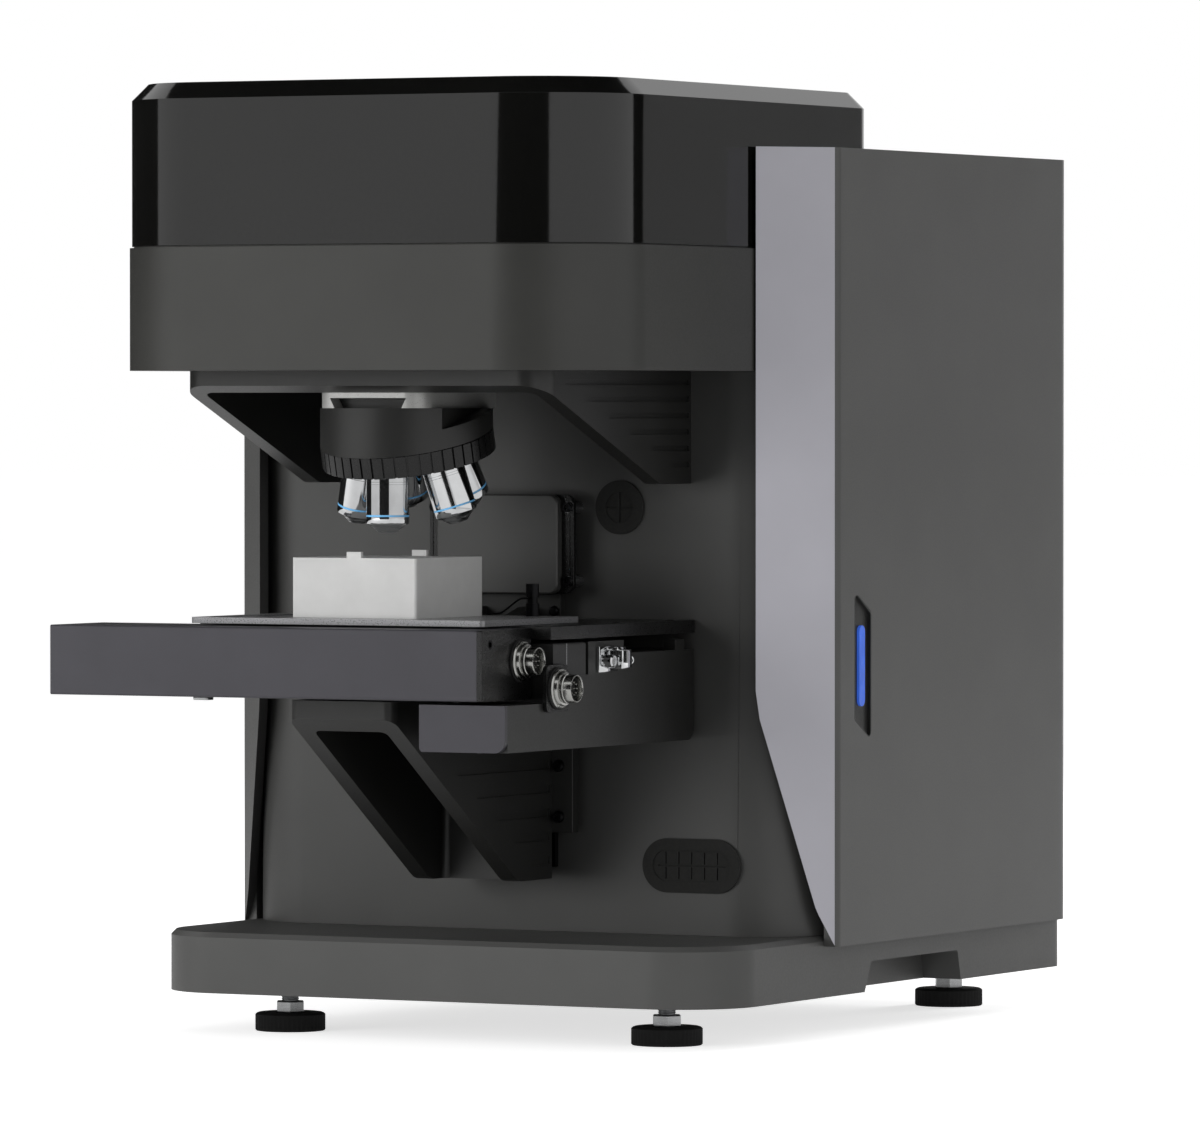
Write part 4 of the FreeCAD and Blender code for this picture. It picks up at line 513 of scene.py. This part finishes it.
class MICROSCOPE_OT_housing(bpy.types.Operator):
    """Finishes the base, column, panels, head and canopy"""
    bl_idname = "microscope.housing"
    bl_label = "Housing"

    def execute(self, context):
        edge = chosen("housing").edge
        dress(("base_casting", "column_housing", "side_panel_right", "side_panel_left", "rear_cover",
               "head_body", "head_cover", "canopy", "port_flange", "port_cover", "flange_posts",
               "guide_rails", "laser_module", "spectrometer_module", "beam_tube", "mains_inlet",
               "cable_grommet_round", "cable_grommet_slot"))
        for share, names in ((1.0, ("base_casting", "column_housing", "head_body", "head_cover")),
                             (0.5, ("port_flange", "port_cover", "rear_cover", "canopy")),
                             (0.2, ("cable_grommet_round", "cable_grommet_slot")),
                             (1.3, ("side_panel_right", "side_panel_left"))):
            for name in names:
                soften_node(name, edge * share)
        paint_bevel_highlight(NODES["side_panel_right"])
        return {"FINISHED"}


def paint_bevel_highlight(node):
    """The slanted front flange of the right panel gets a pale violet-grey coat: a painted highlight for the
    bright light that the flange catches, over what is the panel's own paint.
    """
    mesh = node.data
    mesh.materials.append(finish("bevel"))
    for polygon in mesh.polygons:
        # Faces turned like the flange take the painted highlight coat
        slant = abs(abs(polygon.normal.x) - FLANGE_SLANT) < 0.08 and polygon.normal.y < -0.5
        polygon.material_index = 1 if slant else 0


def cover_screws(name, points, direction, radius, height, body):
    """A set of blackened cap screws, as one piece."""
    work = bmesh.new()
    for point in points:
        socket_screw(work, screw_place(*point, direction), radius, height)
    make_piece(name, work, "dark_steel", body)


class MICROSCOPE_OT_rear(bpy.types.Operator):
    """Screws, fan and inlet contacts on the back"""
    bl_idname = "microscope.rear"
    bl_label = "Rear fittings"

    def execute(self, context):
        radius = chosen("housing").screw_radius / MM
        low, high = [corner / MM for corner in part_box("rear_cover")]
        inset = 9
        left, right = low.x + inset, high.x - inset
        points = [(x, high.y, z) for x in (left, 0, right) for z in (low.z + inset, high.z - inset)]
        points += [(x, high.y, (low.z + high.z) / 2) for x in (left, right)]
        cover_screws("rear_cover_screws", points, (0, 1, 0), radius, 2.2, "frame")
        self.fan()
        self.inlet()
        return {"FINISHED"}

    def fan(self):
        """A cooling fan behind the slots: hub and seven curved blades."""
        work = bmesh.new()
        place = screw_place(*FAN, (0, 1, 0))
        lathe(work, [(0, -4), (17, -4), (17, 2), (15, 3.2), (0, 3.2)], place, 40)
        blades, steps, root, length, lean = 7, 5, 16, 24, 0.10
        for blade in range(blades):
            rows = []
            for step in range(steps + 1):
                reach = root + length * step / steps
                turn = place @ Matrix.Rotation(2 * math.pi * blade / blades + lean * step, 4, "Z")
                near, far = Vector((reach, -7, -3)) * MM, Vector((reach, 7, 2)) * MM
                rows.append((work.verts.new(turn @ near), work.verts.new(turn @ far)))
            for one, two in zip(rows, rows[1:]):
                work.faces.new((one[0], one[1], two[1], two[0]))
        fan = make_piece("cooling_fan", work, "black_plastic", "frame")
        thick = fan.modifiers.new("blade_thickness", "SOLIDIFY")
        thick.thickness = 0.8 * MM

    def inlet(self):
        """Three flat contacts in the mains inlet."""
        work = bmesh.new()
        for side, up in ((-7, -2), (7, -2), (0, 2.5)):
            x, z = INLET[0] + side, INLET[1] + up
            soft_block(work, (x - 1, 331.2, z - 2), (x + 1, 341.5, z + 2), 0.4)
        make_piece("inlet_contacts", work, "plug", "frame")


class MICROSCOPE_OT_light(bpy.types.Operator):
    """The blue status light in the right panel"""
    bl_idname = "microscope.light"
    bl_label = "Status light"

    def execute(self, context):
        dress(["status_light_bezel", "status_light_bar"])
        soften_node("status_light_bezel", 0.3 * MM)
        soften_node("status_light_bar", 0.6 * MM)
        return {"FINISHED"}


def lens_place(index, tilt):
    """Frame of a lens barrel: origin where all the light axes meet, and -Z down its axis."""
    spin = Matrix.Rotation(2 * math.pi * index / BARRELS, 4, "Z")
    return ring_place(tilt) @ spin @ Matrix.Rotation(-tilt, 4, "X")


def ring_place(tilt):
    """Frame of the revolving ring, with -Z down its axis."""
    return Matrix.Translation(APEX) @ Matrix.Rotation(tilt, 4, "X")


class MICROSCOPE_OT_lenses(bpy.types.Operator):
    """Lens barrels with their colour rings, grip lines and front lenses"""
    bl_idname = "microscope.lenses"
    bl_label = "Lens barrels"

    def execute(self, context):
        values = chosen("lenses")
        for index in range(values.count):
            place = lens_place(index, values.tilt)
            name = "objective_%d" % (index + 1)
            barrel = self.barrel(name + "_barrel", place)
            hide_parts(name)
            self.colour_ring(name + "_ring", place, values.ring_height / MM)
            self.front(name + "_front", place)
        dress(["objective_lenses"])
        return {"FINISHED"}

    def barrel(self, name, place):
        """A turned barrel: neck, shoulder, two hairline grooves and a soft lower edge."""
        neck, wall, hairline = 10.2, 14.9, 0.15
        profile = [(0, -117), (neck, -117), (neck, -131), (14.5, -131), (wall, -131.4)]
        for groove in (-135.5, -137.2):
            profile += [(wall, groove + hairline), (wall - hairline, groove), (wall, groove - hairline)]
        profile += [(wall, -158.1), (14.68, -158.15), (14.68, -159.65), (wall, -159.7), (wall, -163.6),
                    (14.6, -164.3), (13.2, -165.1), (12.9, -165.2), (0, -165.2)]
        work = bmesh.new()
        lathe(work, profile, place, 72)
        return make_piece(name, work, "chrome", "turret")

    def colour_ring(self, name, place, height):
        """The enamelled ring in the barrel's shallow groove."""
        half = height / 2
        profile = [(14.6, half - 159.1), (14.88, half - 159.15), (14.88, -158.65 - half),
                   (14.6, -158.7 - half)]
        work = bmesh.new()
        lathe(work, profile, place, 72)
        make_piece(name, work, "band_blue", "turret")

    def front(self, name, place):
        """The cone that holds the front lens."""
        profile = [(12.4, -165.15), (11.8, -165.35), (9.2, -167.75), (9.1, -167.95), (8.9, -168.0),
                   (6.4, -170.35), (6.2, -170.6), (5.2, -170.65), (5.05, -169.6)]
        work = bmesh.new()
        lathe(work, profile, place, 60)
        make_piece(name, work, "steel", "turret")


class MICROSCOPE_OT_nosepiece(bpy.types.Operator):
    """Mount, drum and revolving ring"""
    bl_idname = "microscope.nosepiece"
    bl_label = "Nosepiece"

    def execute(self, context):
        dress(["nosepiece_mount", "nosepiece_body", "nosepiece_shaft", "turret_ring"])
        soften_node("nosepiece_mount", 0.5 * MM)
        soften_node("nosepiece_body", 0.5 * MM)
        soften_node("turret_ring", 0.35 * MM)
        tilt = chosen("lenses").tilt
        work = bmesh.new()
        hub = [(0, -122.5), (19, -122.5), (19, -122.8), (18, -122.85), (0, -122.85)]
        lathe(work, hub, ring_place(tilt))
        collar = [(10.3, -130.9), (13.8, -130.9), (13.8, -129.7), (13.1, -129.3), (13.1, -123)]
        for index in range(BARRELS):
            lathe(work, collar, lens_place(index, tilt))
        make_piece("seat_collars", work, "dark_steel", "turret")
        return {"FINISHED"}


class MICROSCOPE_OT_stage(bpy.types.Operator):
    """Stage bracket, carriage, drives and tables"""
    bl_idname = "microscope.stage"
    bl_label = "Stage"

    def execute(self, context):
        softened = ("stage_knee", "stage_carriage", "stage_bed", "y_drive_box", "y_drive_front",
                    "port_plate", "table_plate", "x_drive_end", "sample_plate", "clip_post")
        dress((*softened, "guide_blocks", "carriage_bolts", "y_runners", "drive_cap", "table_blocks",
               "x_drive_cover", "end_screw"))
        for name in softened:
            soften_node(name, 0.4 * MM)
        soften_node("x_drive_cover", 3.2 * MM, 5)
        self.screws()
        self.clip(chosen("stage").wire)
        self.cap_seam()
        return {"FINISHED"}

    def screws(self):
        """Screws in the table and under the Y drive, and the latch under the X drive."""
        points = [(x, y, 294.4) for x in (-112, 138) for y in (-180, -100)]
        cover_screws("table_screws", points, (0, 0, 1), 3.2, 0.9, "y_stage")
        points = [(114, y, 211) for y in (-330, -225, -120)]
        cover_screws("drive_underside_screws", points, (0, 0, -1), 3.0, 1.6, "z_stage")
        work = bmesh.new()
        soft_block(work, (-98, -356, 243.2), (-86, -348, 245.6), 0.6)
        make_piece("x_drive_latch", work, "steel", "y_stage")

    def clip(self, radius):
        """A spring wire from the post down to the plate."""
        curve = bpy.data.curves.new("sample_clip_wire", "CURVE")
        curve.dimensions = "3D"
        curve.bevel_depth = radius
        curve.bevel_resolution = 3
        curve.use_fill_caps = True
        path = curve.splines.new("NURBS")
        marks = [(84, -206.8, 312), (80, -207.2, 312), (76, -207, 311.5), (63, -205, 302.5),
                 (58, -204, 300.8), (54, -203.5, 301.2)]
        path.points.add(len(marks) - 1)
        for point, mark in zip(path.points, marks):
            point.co = (mark[0] * MM, mark[1] * MM, mark[2] * MM, 1)
        path.order_u = 3
        path.use_endpoint_u = True
        wire = add_object("sample_clip_wire", curve)
        curve.materials.append(finish("dark_steel"))
        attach(wire, "x_stage")

    def cap_seam(self):
        """The bright joint between the two halves of the cap on the Y drive."""
        work = bmesh.new()
        soft_block(work, (82, -269.8, 261.5), (147.2, -269.0, 283.2), 0.2, 1)
        make_piece("drive_cap_seam", work, "plate", "z_stage")


class MICROSCOPE_OT_sockets(bpy.types.Operator):
    """The two round sockets and the side plug"""
    bl_idname = "microscope.sockets"
    bl_label = "Sockets"

    def execute(self, context):
        pins = chosen("stage").pins
        self.round_socket("upper_connector", "y_stage", UPPER_SOCKET, pins)
        self.round_socket("lower_connector", "z_stage", LOWER_SOCKET, pins)
        self.side_plug()
        return {"FINISHED"}

    def round_socket(self, node, body, foot, pins):
        """A plated shell on a rubber seal, with a dark insert and its pins."""
        place = screw_place(*foot, (1, 0, 0))
        profile = [(13.9, 1.2), (13.9, 2.6), (13.2, 3.4), (12.1, 3.4), (11.9, 5.4), (11.5, 5.9),
                   (10.2, 6.1), (10.2, 8.4), (9.7, 8.8), (9.6, 14.4), (9.3, 14.95), (8.6, 14.95),
                   (8.3, 14.4), (8.3, 6)]
        work = bmesh.new()
        lathe(work, profile, place, 64)
        shell = make_piece(node + "_shell", work, "plug", body)
        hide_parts(node)
        work = bmesh.new()
        lathe(work, [(9, 0.05), (14.5, 0.05), (14.5, 1.0), (14.2, 1.25), (9, 1.25)], place, 64)
        make_piece(node + "_seal", work, "rubber", body)
        profile = [(0, 5.5), (8.25, 5.5), (8.25, 8.8), (7.9, 9.2), (5.6, 9.2), (5.4, 9.6), (0, 9.6)]
        work = bmesh.new()
        lathe(work, profile, place)
        make_piece(node + "_insert", work, "black_board", body)
        work = bmesh.new()
        for step in range(pins + 1):
            angle = 2 * math.pi * step / pins
            reach = 0 if step == pins else 4.2
            offset = Vector((reach * math.cos(angle), reach * math.sin(angle), 0)) * MM
            lathe(work, [(0, 9), (0.6, 9), (0.6, 12.4), (0.35, 12.9), (0, 12.9)],
                  place @ Matrix.Translation(offset), 10)
        make_piece(node + "_pins", work, "plug", body)

    def side_plug(self):
        """A square metal plug with its thumb screw and pull ring, on the side of the Y drive."""
        work = bmesh.new()
        soft_block(work, (147.0, -226, 262), (149.2, -198, 280), 0.7)
        soft_block(work, (149.2, -214, 264.2), (161, -199.5, 277.8), 1.2, 3)
        soft_block(work, (149.2, -216, 277.0), (158, -203, 279.6), 0.8)
        shell = make_piece("side_plug_shell", work, "chrome", "z_stage")
        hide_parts("side_connector")
        work = bmesh.new()
        profile = [(0, 0), (3.4, 0), (3.4, 1.5), (4.4, 2), (4.4, 7.6), (3.6, 8.6), (0, 8.6)]
        lathe(work, profile, screw_place(*THUMB_SCREW, (1, 0, 0)), 40)
        make_piece("side_plug_thumb_screw", work, "chrome", "z_stage")
        bpy.ops.mesh.primitive_torus_add(major_radius=2.7 * MM, minor_radius=0.8 * MM, major_segments=40,
                                         minor_segments=12)
        ring = bpy.context.active_object
        ring.name = "side_plug_ring"
        ring.data.materials.append(finish("chrome"))
        ring.matrix_world = screw_place(*PULL_RING, (0.6, -0.8, 0))
        for face in ring.data.polygons:
            face.use_smooth = True
        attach(ring, "z_stage")


class MICROSCOPE_OT_sample(bpy.types.Operator):
    """The frosted sample box with its lid"""
    bl_idname = "microscope.sample"
    bl_label = "Sample box"

    def execute(self, context):
        dress(["sample_box", "sample_lid"])
        soften_node("sample_box", 0.5 * MM)
        soften_node("sample_lid", 0.5 * MM)
        return {"FINISHED"}


class MICROSCOPE_OT_feet(bpy.types.Operator):
    """Levelling feet: ribbed pads, nuts and threaded studs"""
    bl_idname = "microscope.feet"
    bl_label = "Feet"

    def execute(self, context):
        for index in range(1, 5):
            low, high = [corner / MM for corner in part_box("foot_pad_%d" % index)]
            x, y = (low.x + high.x) / 2, (low.y + high.y) / 2
            body = "foot_%d" % index
            self.pad("foot_%d_ribbed_pad" % index, x, y, body, "foot_pad_%d" % index)
            self.stud("foot_%d_threaded_stud" % index, x, y, body, "foot_stud_%d" % index)
        return {"FINISHED"}

    def pad(self, name, x, y, body, node):
        """A moulded pad with upright grip ribs round its side."""
        ribs, wall, groove = 48, 25.0, 24.3
        rows = [(0.0, 24.2, 24.2), (0.8, wall, wall), (2.0, wall, groove), (10.6, wall, groove),
                (11.6, wall, wall), (12.6, 23.8, 23.8), (13.0, 22.6, 22.6)]
        work = bmesh.new()
        centre = screw_place(x, y, 0, (0, 0, 1))
        rings = [add_ring(work, centre, height, [valley, rib, rib] * ribs) for height, rib, valley in rows]
        join_rings(work, rings)
        work.faces.new(rings[0])
        work.faces.new(rings[-1])
        pad = make_piece(name, work, "rubber", body)
        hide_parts(node)

    def stud(self, name, x, y, body, node):
        """A hexagon nut with chamfered corners under a threaded stud."""
        across, thread, pitch = 19, 6.4, 1.5
        work = bmesh.new()
        base = screw_place(x, y, 0, (0, 0, 1))
        rings = [add_ring(work, base, height, [across / math.sqrt(3) * share] * 6)
                 for height, share in ((13.0, 0.93), (13.7, 1.0), (20.3, 1.0), (21.0, 0.93))]
        join_rings(work, rings)
        work.faces.new(rings[0])
        work.faces.new(rings[-1])
        profile = [(across * 0.31, 20.9)]
        for turn in range(16):
            height = 21.2 + turn * pitch
            profile += [(thread, height), (thread - 0.8, height + pitch / 2)]
        profile += [(thread, 45.4), (0, 46.4)]
        lathe(work, profile, base, 36)
        stud = make_piece(name, work, "steel", body)
        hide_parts(node)


class MICROSCOPE_OT_fasteners(bpy.types.Operator):
    """Screws on the column's flange and on the stage carriage"""
    bl_idname = "microscope.fasteners"
    bl_label = "Fasteners"

    def execute(self, context):
        points = [(x, -94.35, z) for x in (-53.5, 53.5) for z in (321.5, 373.5)]
        cover_screws("flange_screw_caps", points, (0, -1, 0), 3.6, 1.6, "frame")
        points = [(x, -97.0, z) for x in (-47, 47) for z in (155, 191)]
        cover_screws("carriage_screw_caps", points, (0, -1, 0), 3.9, 1.3, "z_stage")
        return {"FINISHED"}


class MICROSCOPE_OT_studio(bpy.types.Operator):
    """Floor, white room, lights, reflection cards and the camera"""
    bl_idname = "microscope.studio"
    bl_label = "Studio"

    def execute(self, context):
        values = chosen("studio")
        self.floor(values)
        self.surround(context.scene, values)
        # Place and width in metres, and power
        self.lamp("key", (-2.3, -3.2, 1.0), 2.0, values.key)
        self.lamp("side", (3.3, -1.2, 0.8), 1.6, values.fill * 0.6)
        self.lamp("rim", (0.9, 3.8, 1.0), 1.2, values.fill * 5.0)
        self.lamp("low", (-1.3, -3.4, 0.45), 1.4, values.key * 0.8)
        # First and last bearing in degrees, from the front and to the right
        self.card("card_front", -14.0, 33.0)
        self.card("card_side", 124.0, 143.0)
        self.card("card_left", -150.0, -64.0)
        self.card("card_rear", 143.0, 166.0, "grey_board")
        self.ceiling()
        self.camera(context.scene)
        return {"FINISHED"}

    def floor(self, values):
        """A pale matt floor that stays white to the camera and keeps the soft contact shadow."""
        mesh = bpy.data.meshes.new("studio_floor")
        reach = 40.0
        corners = [(-reach, -reach, 0), (reach, -reach, 0), (reach, reach, 0), (-reach, reach, 0)]
        mesh.from_pydata(corners, [], [(0, 1, 2, 3)])
        floor = add_object("studio_floor", mesh)
        material, tree, output, place = new_material("pale_studio_floor")
        path = add_node(tree, "ShaderNodeLightPath")
        mirrored = add_node(tree, "ShaderNodeMath", {"operation": "MULTIPLY", 1: FLOOR_IN_GLOSS},
                            {0: path.outputs["Is Glossy Ray"]})
        lift = add_node(tree, "ShaderNodeMath", {"operation": "MULTIPLY_ADD", 1: FLOOR_TO_EYE},
                        {0: path.outputs["Is Camera Ray"], 2: mirrored.outputs[0]})
        matt = add_node(tree, "ShaderNodeBsdfDiffuse", {"Color": (*values.floor, 1.0)})
        glow = add_node(tree, "ShaderNodeEmission", {"Color": (1, 1, 1, 1)}, {"Strength": lift.outputs[0]})
        both = add_node(tree, "ShaderNodeAddShader", None, {0: matt.outputs[0], 1: glow.outputs[0]})
        tree.links.new(both.outputs[0], output.inputs["Surface"])
        mesh.materials.append(material)

    def surround(self, scene, values):
        """A white room: full white to the eye and in reflections, softer as light."""
        world = bpy.data.worlds.new("white_room")
        scene.world = world
        world.use_nodes = True
        tree = world.node_tree
        tree.nodes.clear()
        output = add_node(tree, "ShaderNodeOutputWorld")
        path = add_node(tree, "ShaderNodeLightPath")
        seen = add_node(tree, "ShaderNodeMath", {"operation": "MAXIMUM"},
                        {0: path.outputs["Is Camera Ray"], 1: path.outputs["Is Glossy Ray"]})
        clear = add_node(tree, "ShaderNodeMath", {"operation": "MAXIMUM"},
                         {0: seen.outputs[0], 1: path.outputs["Is Transmission Ray"]})
        level = add_node(tree, "ShaderNodeMapRange", {"To Min": values.ambient, "To Max": 1.0},
                         {"Value": clear.outputs[0]})
        sky = add_node(tree, "ShaderNodeBackground", {"Color": (1, 1, 1, 1)},
                       {"Strength": level.outputs["Result"]})
        tree.links.new(sky.outputs[0], output.inputs["Surface"])

    def lamp(self, name, place, size, power):
        """A soft square light, aimed at the middle of the object."""
        light = bpy.data.lights.new(name, "AREA")
        light.shape = "SQUARE"
        light.size = size
        light.energy = power
        lamp = add_object(name, light)
        lamp.location = place
        middle = Vector((0, 0, 0.35))
        aim = middle - Vector(place)
        lamp.rotation_euler = aim.to_track_quat("-Z", "Y").to_euler()
        lamp.visible_glossy = False

    def card(self, name, start, end, key="black_board"):
        """A studio card, bent round the object from one bearing to another, that shapes the reflections."""
        mesh = bpy.data.meshes.new(name)
        reach, foot, top, steps = 2.6, 0.02, 1.9, 10
        points, faces = [], []
        for step in range(steps + 1):
            angle = math.radians(start + (end - start) * step / steps)
            x, y = reach * math.sin(angle), -reach * math.cos(angle)
            points += [(x, y, foot), (x, y, top)]
        for step in range(steps):
            a = step * 2
            faces.append((a, a + 1, a + 3, a + 2))
        mesh.from_pydata(points, [], faces)
        self.reflected_only(mesh, key)

    def ceiling(self):
        """A black ceiling, seen only in reflections, that keeps the top edges of the cover dark."""
        mesh = bpy.data.meshes.new("card_top")
        reach, height = 2.4, 3.0
        corners = [(-reach, -reach, height), (reach, -reach, height), (reach, reach, height),
                   (-reach, reach, height)]
        mesh.from_pydata(corners, [], [(0, 3, 2, 1)])
        self.reflected_only(mesh)

    def reflected_only(self, mesh, key="black_board"):
        """Puts a card in the studio that shows in reflections and nowhere else."""
        card = add_object(mesh.name, mesh)
        mesh.materials.append(finish(key))
        card.visible_camera = False
        card.visible_diffuse = False
        card.visible_shadow = False
        card.visible_transmission = False

    def camera(self, scene):
        """The photograph's view, fitted to its straight edges, for a frame of 1200 by 1123 pixels."""
        data = bpy.data.cameras.new("photo_view")
        data.sensor_width = 36.0
        data.lens = data.sensor_width * FOCAL_PIXELS / PHOTO_WIDTH
        data.clip_start, data.clip_end = 0.1, 200.0
        camera = add_object("photo_view", data)
        camera.location = Vector((2975.1, -5547.65, 450.9)) * MM
        camera.rotation_euler = (math.radians(88.93), 0.0, math.radians(27.965))
        scene.camera = camera
        scene.view_settings.view_transform = "Standard"


PIECES = ("housing", "rear", "light", "nosepiece", "lenses", "stage", "sockets", "sample", "feet",
          "fasteners", "studio")


class MICROSCOPE_PT_panel(bpy.types.Panel):
    """Lists the pieces of the microscope"""
    bl_idname = "MICROSCOPE_PT_panel"
    bl_label = "Microscope"
    bl_space_type = "VIEW_3D"
    bl_region_type = "UI"
    bl_category = "Microscope"

    def draw(self, context):
        for group, kind in GROUPS.items():
            column = self.layout.column()
            for name in kind.__annotations__:
                column.prop(getattr(context.scene, group), name)
        for name in PIECES:
            self.layout.operator("microscope." + name)


GROUPS = {"microscope_housing": HousingSettings, "microscope_lenses": LensSettings,
          "microscope_stage": StageSettings, "microscope_studio": StudioSettings}
CLASSES = (*GROUPS.values(), MICROSCOPE_OT_housing, MICROSCOPE_OT_rear, MICROSCOPE_OT_light,
           MICROSCOPE_OT_nosepiece, MICROSCOPE_OT_lenses, MICROSCOPE_OT_stage, MICROSCOPE_OT_sockets,
           MICROSCOPE_OT_sample, MICROSCOPE_OT_feet, MICROSCOPE_OT_fasteners, MICROSCOPE_OT_studio,
           MICROSCOPE_PT_panel)


def register():
    for item in CLASSES:
        bpy.utils.register_class(item)
    for name, group in GROUPS.items():
        setattr(bpy.types.Scene, name, bpy.props.PointerProperty(type=group))


def unregister():
    for name in GROUPS:
        delattr(bpy.types.Scene, name)
    for item in reversed(CLASSES):
        bpy.utils.unregister_class(item)


def main():
    register()
    for name in PIECES:
        getattr(bpy.ops.microscope, name)()


if __name__ == "__main__":
    main()
